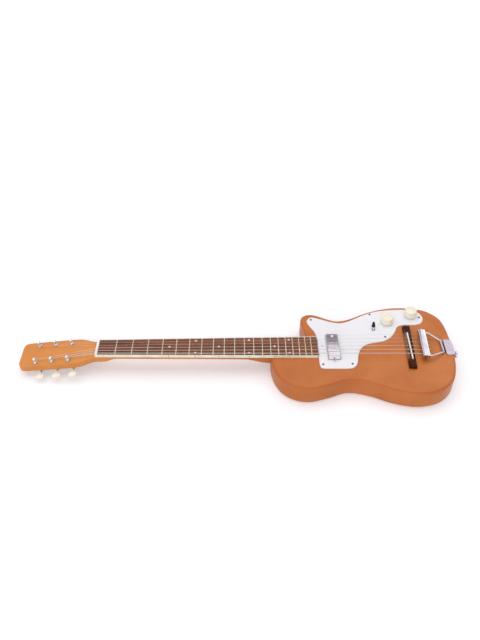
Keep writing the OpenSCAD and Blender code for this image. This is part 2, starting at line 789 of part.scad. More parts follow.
module tuner_plate(first) {
  difference() {
    union() {
      at_tuner(first > 3 ? 6 : 1) translate([post_u[0], 0, 0]) tuner_strip();
      for (i = [first : first + 2], s = [-1, 1]) at_tuner(i) tuner_lug(s);
    }
    for (i = [first : first + 2]) at_tuner(i) {
      translate([0, 0, -head_t - 5]) cylinder(r = post_r + 0.05, h = 8);
      translate([worm_x, 0, worm_w]) rotate([-90, 0, 0])
        cylinder(r = shaft_r + 0.06, h = 30, center = true);
    }
    for (u = plate_screw_u) at_tuner(first > 3 ? 6 : 1)
      translate([post_u[0] - u, 0, -head_t - 5]) cylinder(r = 1.3, h = 8);
  }
}

module tuner_strip() {
  from = plate_screw_u[3] + 5;
  length = from - plate_screw_u[0] + 5;
  translate([length / 2 - from, -0.9, -head_t - tuner_plate_t - 0.03])
    linear_extrude(tuner_plate_t) polygon(round_rect(length, 13.4, 4));
}

module tuner_lug(s) {
  y = s > 0 ? lug_in : -lug_in - lug_t;
  top = -head_t - tuner_plate_t + 0.2;
  translate([worm_x - 3.4, y, worm_w]) cube([6.8, lug_t, top - worm_w]);
  translate([worm_x, y, worm_w]) rotate([-90, 0, 0]) cylinder(r = 3.4, h = lug_t);
}

module tuner_plate_screws() {
  color("silver") for (i = [1, 6], u = plate_screw_u)
    at_tuner(i) translate([post_u[0] - u, 0, -head_t - tuner_plate_t - 0.03]) rotate([180, 0, u])
      screw(2.2, 1.2, 1.2, 10);
}

module post_bushings() {
  color("silver") for (i = [1 : 6]) at_tuner(i) rotate_extrude() polygon([
    [post_r + 0.06, -8], [3.97, -8], [3.97, 0.02], [4.7, 0.02], [4.7, 0.7], [4.1, 1.3], [post_r + 0.06, 1.3]
  ]);
}

// Tuner post: turned and waisted above, with its gear and end screw below the plate
module tuner_post(i) {
  gear_bottom = worm_w - gear_half;
  plate_under = -head_t - tuner_plate_t - 0.15;
  color("gainsboro") at_tuner(i) difference() {
    union() {
      rotate_extrude() polygon([
        [0, gear_bottom - 1.3], [1.6, gear_bottom - 1.3], [2.5, gear_bottom - 0.5],
        [2.5, gear_bottom + 0.1], [3.8, gear_bottom + 0.1], [3.8, plate_under], [post_r, plate_under],
        [post_r, 2.2], [waist_r, 3], [waist_r, 8.4], [post_r, 9.2], [post_r, 10.2], [2.3, 10.9], [0, 11.1]
      ]);
      translate([0, 0, gear_bottom]) linear_extrude(2 * gear_half) polygon(gear_points());
    }
    translate([0, 0, 7.6]) rotate([0, 90, 0]) cylinder(r = 0.8, h = 12, center = true);
    translate([0, 0, gear_bottom - 1.3]) cube([6, 0.7, 1], center = true);
  }
}

// Gear outline: straight-sided teeth with a gap facing the worm
function gear_points() = [
  for (k = [0 : gear_teeth - 1], e = [[-8, 4.1], [-2.4, 5.4], [2.4, 5.4], [8, 4.1]])
    let (a = 360 / gear_teeth * (k + 0.5) + e[0]) e[1] * [cos(a), sin(a)]
];

// Worm and its shaft: the thread's cross-section turned once for each pitch
module tuner_worm(i) {
  color("silver") at_tuner(i) translate([worm_x, 0, worm_w]) rotate([-90, 0, 0]) union() {
    translate([0, 0, -worm_len / 2])
      linear_extrude(worm_len, twist = -360 * worm_len / worm_pitch, slices = 40, segments = 10)
      rotate(180 - 180 * worm_len / worm_pitch) polygon(thread_points());
    translate([0, 0, -6.4]) cylinder(r = shaft_r, h = 6.4 - worm_len / 2 + 0.5);
    translate([0, 0, worm_len / 2 - 0.5]) cylinder(r = shaft_r, h = button_y + 8.5 - worm_len / 2);
  }
}

function thread_points() = [
  for (e = [
    [0, 1], [28, 1], [65, 0.54], [102, 0], [141, 0], [180, 0], [219, 0], [258, 0], [295, 0.54], [332, 1]
  ])
    (worm_root + e[1] * (worm_crest - worm_root)) * [cos(e[0]), sin(e[0])]
];

// Button: an oval paddle, thicker in the middle, with a collar on the shaft
module tuner_button(i) {
  middle = button_y + 8;
  color("ivory") at_tuner(i) translate([worm_x, 0, worm_w]) difference() {
    union() {
      intersection() {
        translate([0, middle, -5]) linear_extrude(10) polygon(button_outline());
        translate([0, middle, 0]) rotate_extrude() polygon(concat(
          arc([0, -20], 23.6, 90, 63, 8), arc([0, 20], 23.6, -63, -90, 8)
        ));
      }
      translate([0, button_y - 2, 0]) rotate([-90, 0, 0]) cylinder(r1 = 2.4, r2 = 3, h = 5);
    }
    rotate([-90, 0, 0]) translate([0, 0, -3]) cylinder(r = shaft_r, h = button_y + 8 + 3 + 0.05);
  }
}

// Oval of the button, flatter than an ellipse
function button_outline() = [
  for (a = [0 : 10 : 350]) [9 * flat_wave(cos(a)), 6.4 * flat_wave(sin(a))]
];
function flat_wave(v) = sign(round(v * 1e6)) * pow(abs(v), 0.85);

// Potentiometer: a round can with a threaded bush and an open bore for its shaft
module potentiometers() {
  bush_top = guard_z + nut_h + 1;
  color("silver") from_nut() for (p = [tone_at, volume_at]) translate([p[0], p[1], 0])
    rotate_extrude() polygon([
      [0, body_t - 11.5], [pot_r, body_t - 11.5], [pot_r, body_t - 1.5], [pot_r - 2, body_t - 0.02],
      [3.9, body_t - 0.02], [3.9, bush_top], [3.05, bush_top], [3.05, body_t - 9.5], [0, body_t - 9.5]
    ]);
}

module control_nuts() {
  color("silver") from_nut() {
    for (p = [tone_at, volume_at]) translate([p[0], p[1], guard_z + 0.02]) difference() {
      cylinder(r = 6, h = nut_h - 0.5, $fn = 6);
      translate([0, 0, -1]) cylinder(r = 3.92, h = 8);
    }
    translate([switch_at[0], switch_at[1], guard_z + 0.02]) difference() {
      cylinder(r = 4.4, h = 1.6, $fn = 6);
      translate([0, 0, -1]) cylinder(r = 3.22, h = 8);
    }
  }
}

// Knob on its shaft: a tapered barrel with a stepped top, hollow below to clear the nut
module knob(at) {
  r = knob_d / 2;
  z0 = guard_z + knob_gap;
  color("cornsilk") from_nut() translate([at[0], at[1], z0]) rotate_extrude() polygon([
    [0, -guard_t - 9], [3, -guard_t - 9], [3, 4.4], [8, 4.4], [8.6, 0], [r - 0.6, 0], [r, 0.7],
    [r - 1, knob_h - 3.4], [r - 2, knob_h - 1.6], [r - 3.6, knob_h - 0.7], [r - 4.6, knob_h - 1],
    [r - 5.4, knob_h - 0.6], [r - 7.5, knob_h - 0.1], [0, knob_h]
  ]);
}

module volume_knob() {
  knob(volume_at);
}

module tone_knob() {
  knob(tone_at);
}

// Toggle switch: a box below the guard and a bush that holds the lever's ball
module tone_switch() {
  color("dimgray") from_nut() translate([switch_at[0], switch_at[1], 0]) difference() {
    union() {
      translate([-6.5, -12, body_t - 17]) cube([13, 24, 16.98]);
      translate([0, 0, body_t - 1]) cylinder(r = 3.2, h = switch_z + 2 - body_t + 1);
    }
    translate([0, 0, switch_z - 5]) cylinder(r = 2.2, h = 20);
    translate([0, 0, switch_z + 0.2]) cylinder(r1 = 2.2, r2 = 3.1, h = 1.85);
  }
}

// Lever: a ball on its pivot pin, a thin stem and a tapered tip, leaning to the treble side
module switch_lever() {
  color("black") from_nut() translate([switch_at[0], switch_at[1], switch_z]) rotate([-lever_lean, 0, 0]) {
    rotate_extrude() polygon(concat(
      [for (a = [-90 : 15 : 45]) 2.05 * [cos(a), sin(a)]],
      [[1.25, 1.6], [1.25, 5.2], [2.8, 5.2], [3.4, 6], [3.2, 9], [1.7, 15.8]],
      arc([0, 15.5], 1.7, 15, 90, 4)
    ));
    rotate([0, 90, 0]) cylinder(r = 1, h = 3.88, center = true);
  }
}

module output_jack() {
  color("silver") from_nut() translate([jack_x, 0, jack_z]) rotate([-90, 0, 0]) difference() {
    union() {
      translate([0, 0, 93]) cylinder(r = 4.7, h = half_width - 3 - 93);
      translate([0, 0, 96]) cylinder(r = 8, h = 3.6);
      translate([-2, -7.6, 80]) cube([4, 1, 17]);
    }
    translate([0, 0, 85]) cylinder(r = 3.2, h = 40);
  }
}

module jack_nut() {
  color("silver") from_nut() translate([jack_x, half_width - 5.95, jack_z]) rotate([-90, 0, 0])
    difference() {
      cylinder(r = 7.5, h = 2.4, $fn = 6);
      translate([0, 0, -1]) cylinder(r = 4.72, h = 6);
    }
}

// Capacitor on the back of the tone control
module tone_capacitor() {
  color("orange") from_nut() translate([tone_at[0] - 7, tone_at[1] - 6, body_t - 11.5 - 4.02])
    rotate([0, 90, 0]) cylinder(r = 4, h = 14);
}

// Insulated leads: pickup to switch, switch to tone, tone to volume, volume to socket
module wiring() {
  under_pots = body_t - 12.4;
  runs = [
    [[470, 30, 36], [484, 33, 36], [520, 33, 35], [541, 37, 33], [543, 40, 22], [551, 43, body_t - 17.9]],
    [[556, 54, body_t - 17.9], [566, 64, 20], [574, 72, 24], [579, 74, under_pots]],
    [[589, 74, under_pots], [596, 77, 25], [618, 80, 28.5], [630, 83, under_pots]],
    [[638, 88, under_pots], [636, 92, 24], [627, 95, 27.5], [621, 94.5, 31.5]]
  ];
  color("goldenrod") from_nut() for (run = runs) tube(rounded_path(run, 4, 3), 0.8, 6);
}

body();
neck();
neck_rod();
fretboard();
fretboard_binding();
frets();
position_dots();
side_dots();
nut();
pickguard();
pickguard_screws();
pickup_cover();
pickup_coil();
pickup_magnet();
pickup_screws();
bridge_base();
bridge_saddle();
tailpiece_bar();
tailpiece_frame();
tailpiece_hinge();
tailpiece_screws();
end_pin();
tuner_plate_treble();
tuner_plate_bass();
tuner_plate_screws();
post_bushings();
potentiometers();
control_nuts();
tone_switch();
output_jack();
jack_nut();
tone_capacitor();
wiring();
volume_knob();
tone_knob();
switch_lever();
for (i = [1 : 6]) {
  guitar_string(i);
  tuner_post(i);
  tuner_worm(i);
  tuner_button(i);
}
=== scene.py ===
"""Looks of a six-string solid-body electric guitar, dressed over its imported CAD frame. Shapes are worked
out in millimetres: x from the nut's front edge, +Y to the treble side, +Z up from the back. They move to
the frame's own origin, in metres, when a piece is made."""

import math
from functools import partial

import bpy
import numpy as np
from mathutils import Matrix, Vector


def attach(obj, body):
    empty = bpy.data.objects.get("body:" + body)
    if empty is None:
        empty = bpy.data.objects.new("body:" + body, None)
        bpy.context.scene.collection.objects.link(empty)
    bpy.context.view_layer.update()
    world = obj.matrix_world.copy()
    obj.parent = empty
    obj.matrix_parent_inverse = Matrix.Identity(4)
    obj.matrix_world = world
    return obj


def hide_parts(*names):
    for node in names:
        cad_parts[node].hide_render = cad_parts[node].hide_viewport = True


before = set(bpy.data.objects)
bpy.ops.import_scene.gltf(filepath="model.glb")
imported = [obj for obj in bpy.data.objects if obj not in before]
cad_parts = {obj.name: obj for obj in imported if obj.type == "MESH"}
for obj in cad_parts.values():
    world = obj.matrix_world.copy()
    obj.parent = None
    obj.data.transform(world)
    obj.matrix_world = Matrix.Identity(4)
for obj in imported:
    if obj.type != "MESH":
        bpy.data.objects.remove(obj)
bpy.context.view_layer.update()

# Metres in a millimetre, steps between two points of an outline, the angle from which an edge is sharp, a
# height that clears the body's top, and the play between pieces that fit
MM = 0.001
CURVE_STEPS = 8
SHARP_ANGLE = math.radians(32)
OVER_BODY = 60
GAP = 0.05

# Neck and strings
STRINGS = range(1, 7)
SCALE_LENGTH = 616
FRET_COUNT = 20
FRET_R = 0.9
TANG_HALF = 0.3
TANG_DEPTH = 1.8
NUT_WIDTH = 42.5
NUT_T = 5
NUT_LIFT = 0.42
NUT_SPREAD = 36
SADDLE_SPREAD = 53
STRING_SHIFT = -0.6
BOARD_END = 434.5
BOARD_END_WIDTH = 53.3
NECK_DEPTH = 14.5
NECK_GROWTH = 1.5
HEEL_START = 290
HEEL_GROWTH = 5.5
ROUND_POWER = 2.2
SQUARE_POWER = 30
ROD_SLOT_X = (6, 400)
ROD_SLOT_HALF = 3
ROD_SLOT_DEPTH = 11
PAINTED_LIGHT_X = 150
STRING_D = np.array([0.3, 0.4, 0.5, 0.75, 0.95, 1.2])
STRING_TURNS = [3.5, 3.5, 3.5, 2.5, 2.5, 2.5]
TURN_GAP = 0.5

# Headstock and tuners: u runs from the nut to the tip, v to the side and w up from the headstock's face
TILT = math.radians(6)
HEAD_LENGTH = 154.5
HEAD_T = 14.5
HEAD_CORNER = 1.2
TIP_R = 1.4
POST_U = [54, 87, 120]
POST_V = 22.5
POST_HOLE_R = 4
WAIST_R = 2.6
WIND_W = 3.7
WORM_X = 7.5
WORM_W = -18.9
WORM_ROOT = 1.85
WORM_CREST = 3.05
WORM_LEN = 7.4
WORM_PITCH = 2 * math.pi * 4.9 / 14
SHAFT_R = 1.55
BUTTON_Y = 13.5
PADDLE_Y = BUTTON_Y + 8

# Body and pickguard
BODY_L = 363
BODY_T = 42
EDGE_R = 5
FLAT_RIM = 0.8
HALF_WIDTH = 119
BOARD_Z = BODY_T + 6
GUARD_Z = BODY_T + 2.5
HEEL_HALF = 25.6
HEEL_FLOOR = 20
TENON_END = 430
CAVITY_FLOOR = 9
CHANNEL_Y = (28, 38)
CHANNEL_DEPTH = 12
CHANNEL_REACH = (10, 82)
JACK_X = 618
JACK_Z = 23
JACK_HOLE_R = 4.8
JACK_RECESS_R = 11
JACK_SEAT_Y = HALF_WIDTH - 6
JACK_INNER_Y = 90
PIN_Z = 21
PIN_OUT = 11
PIN_HOLE_R = 3.2
PIN_DEPTH = 20
TONE_AT = (584, 70.5)
VOLUME_AT = (636, 90.2)
SWITCH_AT = (553, 48)
SWITCH_Z = GUARD_Z + 0.5
LEVER_LEAN = math.radians(26)
SHAFT_HOLE_R = 4.1
SWITCH_HOLE_R = 3.3
SCREW_HOLE_R = 1.5
SCREW_HEAD_R = 2.3
GUARD_SCREWS = [(428, 79), (552, 94), (653, 84), (574, 28), (442, -46), (499, -45), (444.5, 3)]
BRIGHT_SCREW = GUARD_SCREWS[-1]
KNOB_R = 12.5
KNOB_H = 15.5
KNOB_GAP = 2

# Pickup, bridge and tailpiece
PICKUP_X = 465.7
PICKUP_W = 24.4
PICKUP_L = 69.5
PICKUP_WALL = 0.8
PICKUP_TOP = GUARD_Z + 6
PICKUP_BASE = BODY_T - 4
POCKET_W = PICKUP_W + 6
POCKET_L = PICKUP_L + 4
POCKET_DEPTH = 14
LID_GAP = 0.6
END_SLOPE = 3
EAR_END = 40.3
EAR_W = 5.6
EAR_R = 2.7
EAR_HOLE = 37.4
POLE_Y = 25
SADDLE_X = SCALE_LENGTH + 0.8
SADDLE_Z = BOARD_Z + 6
SADDLE_T = 2.6
SADDLE_L = 70
SADDLE_OFF = -3.9
SADDLE_TURN = math.radians(-1.3)
BRIDGE_L = 112.5
BRIDGE_W = 15
BRIDGE_H = 9
BRIDGE_AT = (SADDLE_X + 0.65, -0.4, 0)
BRIDGE_TURN = math.radians(-3.1)
BAR_X0 = 637.7
BAR_X1 = 652.3
BAR_MID = (BAR_X0 + BAR_X1) / 2
BAR_TURN = math.radians(-2.6)
BAR_HALF = 36
BAR_R = 1.8
BAR_TOP = BODY_T + 16.5
BAR_STRING_Z = BODY_T + 10.6
BALL_R = 1.9
BALL_HALF = 1.7
WIRE_R = 1.6
WIRE_Y = 31
BARREL_R = 3
HINGE_IN = 22
HINGE_HALF = 13
BEND_R = 2
PLATE_T = 1.6
PLATE_LOW = 10

BODY_POINTS = [
    (0, -16), (0, -30), (3, -48), (9, -66), (22, -86), (44, -101), (72, -106), (108, -97),
    (147, -84), (188, -92), (230, -110), (275, -HALF_WIDTH), (315, -111), (343, -88), (355.5, -60),
    (361.5, -28), (362.8, 2), (362.8, 34), (361, 58), (355.5, 82), (343.5, 98), (322, 112),
    (276, HALF_WIDTH), (235, 114), (199, 101.5), (167, 85.5), (141, 79.5), (119, 86.5), (100, 96),
    (86, 99.5), (72, 95.5), (65.2, 84), (66.6, 66), (69.8, 46), (68.5, 31), (58, HEEL_HALF),
    (34, HEEL_HALF), (12, HEEL_HALF), (2, 20), (0, 4),
]
GUARD_POINTS = [
    (419, 76), (424, 61), (432.5, 44), (435.6, 24), (435.4, 0), (435.4, -26), (436, -48), (442, -55),
    (465, -56), (494, -55.5), (504, -51), (510, -40), (515, -18), (524, 0), (540, 10.5),
    (566, 16.5), (584, 26.5), (596, 42), (603, 56.5), (615, 62.5), (642, 63.5), (656, 70),
    (661, 86), (652, 102), (630, 108.5), (600, 108.5), (565, 103.5), (535, 91), (508, 76),
    (488, 69.5), (470, 72.5), (446, 82), (429, 87),
]
CAVITY_POINTS = [
    (536, 34), (562, 30), (580, 38), (592, 54), (606, 68), (646, 70), (654, 80), (654, 94),
    (642, 104), (600, 102), (565, 95), (540, 84),
]
HEAD_HALVES = np.array([
    (0, 21.3), (6, 22.2), (12, 24.2), (23, 28.7), (32, 31.4), (40, 32.6), (52, 33), (64, 33),
    (82, 32.8), (102, 32.6), (123, 32.4), (140, 32), (148, 30.6), (152, 27.6), (154.5, 21),
])


def fret_x(n):
    """Distance of fret n from the nut: L (1 - 2^(-n/12))."""
    return SCALE_LENGTH * (1 - 2.0 ** (-n / 12))


JOIN_X = fret_x(14)
TAIL_X = JOIN_X + BODY_L
HINGE_X = TAIL_X - HINGE_IN
HINGE_Z = BODY_T + BARREL_R + 0.4
MID_X = (TAIL_X + PLATE_T + PIN_OUT - NUT_T - HEAD_LENGTH * math.cos(TILT)) / 2


# Shapes


def unit(v):
    """Vectors along the last axis, each divided by its length."""
    return v / np.linalg.norm(v, axis=-1, keepdims=True)


def signed_power(c, power):
    """sign(c) |c|^power, and 0 where c differs from 0 by rounding alone."""
    return np.sign(np.round(c, 9)) * np.abs(c) ** power


def grid(*parts):
    """Points whose coordinates are the given arrays or numbers, spread to one common shape."""
    return np.stack(np.broadcast_arrays(*parts), -1)


def join(*parts):
    """Points or rows, one part after the other."""
    return np.concatenate(parts)


def angles(start, end, count):
    """Evenly spaced angles, given in degrees."""
    return np.radians(np.linspace(start, end, count))


def curve_through(points, steps):
    """Closed smooth curve: between p(i) and p(i+1) a cubic whose slope at p(i) is (p(i+1) - p(i-1)) / 2."""
    p = np.asarray(points, float)
    t = (np.arange(steps) / steps)[None, :, None]
    a, b, c, d = (np.roll(p, k, 0)[:, None] for k in (1, 0, -1, -2))
    q = (2 * b + (c - a) * t + (2 * a - 5 * b + 4 * c - d) * t**2 + (3 * b - a - 3 * c + d) * t**3) / 2
    return q.reshape(-1, p.shape[1])


def cubic_at(x, xs, ys):
    """Cubic Hermite curve through (xs, ys), with slopes from the neighbouring points, read at x."""
    slope = np.gradient(ys, xs)
    i = np.clip(np.searchsorted(xs, x) - 1, 0, len(xs) - 2)
    h = xs[i + 1] - xs[i]
    t = (x - xs[i]) / h
    low = ys[i] * (1 + 2 * t) * (1 - t) ** 2 + h * slope[i] * t * (1 - t) ** 2
    return low + ys[i + 1] * t**2 * (3 - 2 * t) + h * slope[i + 1] * t**2 * (t - 1)


def ease(x, a, b):
    """Smooth step from 0 at a to 1 at b: t^2 (3 - 2t)."""
    t = np.clip((x - a) / (b - a), 0, 1)
    return t * t * (3 - 2 * t)


def inset(edge, depth):
    """Anticlockwise closed outline moved inwards by depth along its normals."""
    along = unit(np.roll(edge, -1, 0) - np.roll(edge, 1, 0))
    return edge + depth * grid(-along[:, 1], along[:, 0])


def arc(centre, radius, start, end, steps):
    """Points on a circle about a centre, from one angle in degrees to another."""
    a = angles(start, end, steps + 1)
    return np.asarray(centre, float) + radius * grid(np.cos(a), np.sin(a))


def round_rect(width, length, radius, steps=6):
    """Rectangle about the origin with a quarter circle at each corner, anticlockwise."""
    x, y = width / 2 - radius, length / 2 - radius
    corners = [((x, y), 0), ((-x, y), 90), ((-x, -y), 180), ((x, -y), 270)]
    return np.concatenate([arc(c, radius, a, a + 90, steps) for c, a in corners])


def eased(before, corner, after, radius, steps):
    """Corners p eased by (1-t)^2 a + 2t(1-t) p + t^2 b, where a and b lie radius away on its two sides."""
    a = corner + radius * unit(before - corner)
    b = corner + radius * unit(after - corner)
    t = np.linspace(0, 1, steps)[None, :, None]
    bends = (1 - t) ** 2 * a[:, None] + 2 * t * (1 - t) * corner[:, None] + t**2 * b[:, None]
    return bends.reshape(-1, corner.shape[1])


def eased_path(points, radius, steps):
    """Open path with eased inner corners."""
    p = np.asarray(points, float)
    return join(p[:1], eased(p[:-2], p[1:-1], p[2:], radius, steps), p[-1:])


def skin(rows, ring=False, finish=0, **marks):
    """Surface over rows of points: quads between neighbours, each row closed on itself, and flat caps on
    the first and last rows, or a ring that joins them. Marks are numbers for rows or points."""
    count, columns = rows.shape[:2]
    index = np.arange(count * columns).reshape(count, columns)
    below = index if ring else index[:-1]
    above = np.roll(index, -1, 0) if ring else index[1:]
    quads = np.stack([below, np.roll(below, -1, 1), np.roll(above, -1, 1), above], -1).reshape(-1, 4)
    return {
        "points": rows.reshape(-1, 3),
        "quads": quads,
        "caps": [] if ring else [index[0, ::-1], index[-1]],
        "finish": finish,
        "marks": {k: (np.reshape(v, (count, -1)) + np.zeros(columns)).ravel() for k, v in marks.items()},
    }


def plate(edge, steps):
    """Rows of an outline at each (inset, height) step, from the underside up."""
    return np.stack([grid(*inset(edge, d).T, z) for d, z in steps])


def revolve(profile, columns):
    """Rows of a surface of revolution about z: (r cos a, r sin a, z)."""
    a = 2 * math.pi * np.arange(columns) / columns
    r, z = np.asarray(profile, float).T[..., None]
    return grid(r * np.cos(a), r * np.sin(a), z)


def rod(radius, low, high, columns=32):
    """Rows of a cylinder about z."""
    return revolve([(radius, low), (radius, high)], columns)


def tube(path, radius, sides):
    """Rows of a round tube: a circle square to the path at each point, level with the ground."""
    along = unit(np.gradient(path, axis=0))
    across = unit(np.cross(along, (0, 0, 1)))
    up = np.cross(across, along)
    a = -2 * math.pi * np.arange(sides) / sides
    circle = np.cos(a)[None, :, None] * across[:, None] + np.sin(a)[None, :, None] * up[:, None]
    return path[:, None] + radius * circle


def bar(section, low, high):
    """Rows of a straight bar along Y with a section given as (x, z) points, clockwise seen from -Y."""
    return grid(section[:, 0], np.array([[low], [high]]), section[:, 1])


def block(low, high):
    """Box between two corners, as a cutter."""
    (x0, y0, z0), (x1, y1, z1) = low, high
    edge = np.array([(x0, y0), (x1, y0), (x1, y1), (x0, y1)], float)
    return skin(plate(edge, [(0, z0), (0, z1)]))


def drill(at, radius, low, high, columns=32):
    """Upright cylinder at (x, y), as a cutter."""
    return skin(rod(radius, low, high, columns) + (*at, 0))


def along_y(rows):
    """Turns rows about z into rows about Y: (x, y, z) goes to (x, z, -y)."""
    x, y, z = np.moveaxis(rows, -1, 0)
    return grid(x, z, -y)


def along_x(rows):
    """Turns rows about z into rows about X: (x, y, z) goes to (z, y, -x)."""
    x, y, z = np.moveaxis(rows, -1, 0)
    return grid(z, y, -x)


def turned(points, angle, at=(0, 0, 0)):
    """Points turned about an upright axis through the origin, which is then moved to a place."""
    x, y, z = np.moveaxis(points, -1, 0)
    c, s = math.cos(angle), math.sin(angle)
    return grid(x * c - y * s, x * s + y * c, z) + at


def at_bar(points):
    """Points of the tailpiece bar, turned with it about its middle."""
    middle = (BAR_MID, 0, 0)
    return turned(np.asarray(points, float) - middle, BAR_TURN, middle)


def on_head(points):
    """Headstock frame to the nut frame: turned by TILT about the nut's lower rear edge."""
    x, y, z = np.moveaxis(points, -1, 0)
    c, s = math.cos(TILT), math.sin(TILT)
    return grid(x * c - z * s - NUT_T, y, x * s + z * c + BODY_T)


def side_of(i):
    """1 for the treble side's tuners, strings 1 to 3, and -1 for the bass side's."""
    return 1 if i <= 3 else -1


def place_of(i):
    """Distance of tuner i from the nut along the headstock."""
    return POST_U[i - 1 if i <= 3 else 6 - i]


def at_tuner(i, rows):
    """Tuner frame to the nut frame. The bass side is a mirror image, so its columns run the other way."""
    placed = on_head(rows + (-place_of(i), POST_V, 0))
    return placed if i <= 3 else placed[:, ::-1] * (1, -1, 1)


# Pieces


def raw_object(name, shapes, finishes=()):
    """One mesh from several shapes, moved from the nut to the frame's own origin, in metres."""
    starts = np.cumsum([0] + [len(s["points"]) for s in shapes])
    points = (np.concatenate([s["points"] for s in shapes]) - (MID_X, 0, 0)) * MM
    faces, finish = [], []
    for s, start in zip(shapes, starts):
        own = (s["quads"] + start).tolist() + [(c + start).tolist() for c in s["caps"]]
        faces += own
        finish += [s["finish"]] * len(own)
    mesh = bpy.data.meshes.new(name)
    mesh.from_pydata(points.tolist(), [], faces, shade_flat=False)
    for material in finishes:
        mesh.materials.append(material)
    mesh.polygons.foreach_set("material_index", finish)
    for mark in sorted({m for s in shapes for m in s["marks"]}):
        values = [s["marks"].get(mark, np.zeros(len(s["points"]))) for s in shapes]
        layer = mesh.attributes.new(mark, "FLOAT", "POINT")
        layer.data.foreach_set("value", np.concatenate(values).astype(np.float32))
    obj = bpy.data.objects.new(name, mesh)
    bpy.context.scene.collection.objects.link(obj)
    return obj


def carve(obj, cutters):
    """Cuts closed shapes out of an object, one after the other."""
    tools = [raw_object("cutter", [c]) for c in cutters]
    for tool in tools:
        cut = obj.modifiers.new("cut", "BOOLEAN")
        cut.operation, cut.solver, cut.object = "DIFFERENCE", "EXACT", tool
    result = obj.evaluated_get(bpy.context.evaluated_depsgraph_get())
    mesh = bpy.data.meshes.new_from_object(result)
    obj.modifiers.clear()
    old, obj.data = obj.data, mesh
    bpy.data.meshes.remove(old)
    for tool in tools:
        bpy.data.meshes.remove(tool.data)


def piece(name, shapes, finishes, stands_for, body="root", cutters=(), bevel=0):
    """Makes a finished piece: its shapes, cuts, finishes, softened edges and the body it rides on."""
    obj = raw_object(name, shapes, finishes)
    if cutters:
        carve(obj, cutters)
    mesh = obj.data
    mesh.name = name
    mesh.set_sharp_from_angle(angle=SHARP_ANGLE)
    if bevel:
        soft = obj.modifiers.new("softened_edges", "BEVEL")
        soft.width, soft.segments, soft.harden_normals = bevel * MM, 2, True
        soft.limit_method, soft.angle_limit = "ANGLE", SHARP_ANGLE
    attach(obj, body)
    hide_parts(stands_for)
    return obj


def dress(finish, *nodes):
    """Gives CAD nodes a finish."""
    for name in nodes:
        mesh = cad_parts[name].data
        mesh.materials.clear()
        mesh.materials.append(finish)


# Finishes


def colour(code):
    """sRGB hex to linear RGBA: c / 12.92 up to 0.04045, else ((c + 0.055) / 1.055)^2.4."""
    c = np.array([int(code[k : k + 2], 16) for k in (0, 2, 4)]) / 255
    linear = np.where(c <= 0.04045, c / 12.92, ((c + 0.055) / 1.055) ** 2.4)
    return (*linear.tolist(), 1.0)


def per(size):
    """Scale, in repeats per metre, of a pattern that repeats every size millimetres."""
    return 1 / (size * MM)


def feed(made, numbered=(), **named):
    """Sets a node's inputs, by number or by name, which has _ for a space. Each is a value, a colour's
    code, or another node's output to link."""
    for key, value in {**dict(numbered), **named}.items():
        socket = made.inputs[key.replace("_", " ") if isinstance(key, str) else key]
        if isinstance(value, bpy.types.NodeSocket):
            made.id_data.links.new(value, socket)
        else:
            socket.default_value = colour(value) if isinstance(value, str) else value


def node(tree, kind, numbered=(), out=0, **named):
    """Adds a node with its settings, named in small letters, and its inputs, and gives one output."""
    made = tree.nodes.new("ShaderNode" + kind)
    for key, value in named.items():
        if key.islower():
            setattr(made, key, value)
    feed(made, numbered, **{key: value for key, value in named.items() if not key.islower()})
    return made.outputs[out]


# Settings of a Mix node for colours: input 0 is the share of input 7 over input 6
BLEND = {"data_type": "RGBA", "out": 2}


def surface(name, **values):
    """A material, the call that adds its nodes, its shader with its constants, and Object coordinates."""
    mat = bpy.data.materials.new(name)
    mat.use_nodes = True
    add = partial(node, mat.node_tree)
    shader = mat.node_tree.nodes["Principled BSDF"]
    feed(shader, **values)
    return mat, add, shader, add("TexCoord", out="Object")


def where_marked(add, tone, code):
    """A tone that turns to another colour, if one is given, where the piece's own wear mark says so:
    real wear and dirt on some pieces, painted shade on others.
    """
    if code is None:
        return tone
    wear = add("Attribute", out="Fac", attribute_name="wear")
    return add("Mix", {0: wear, 6: tone, 7: code}, **BLEND)


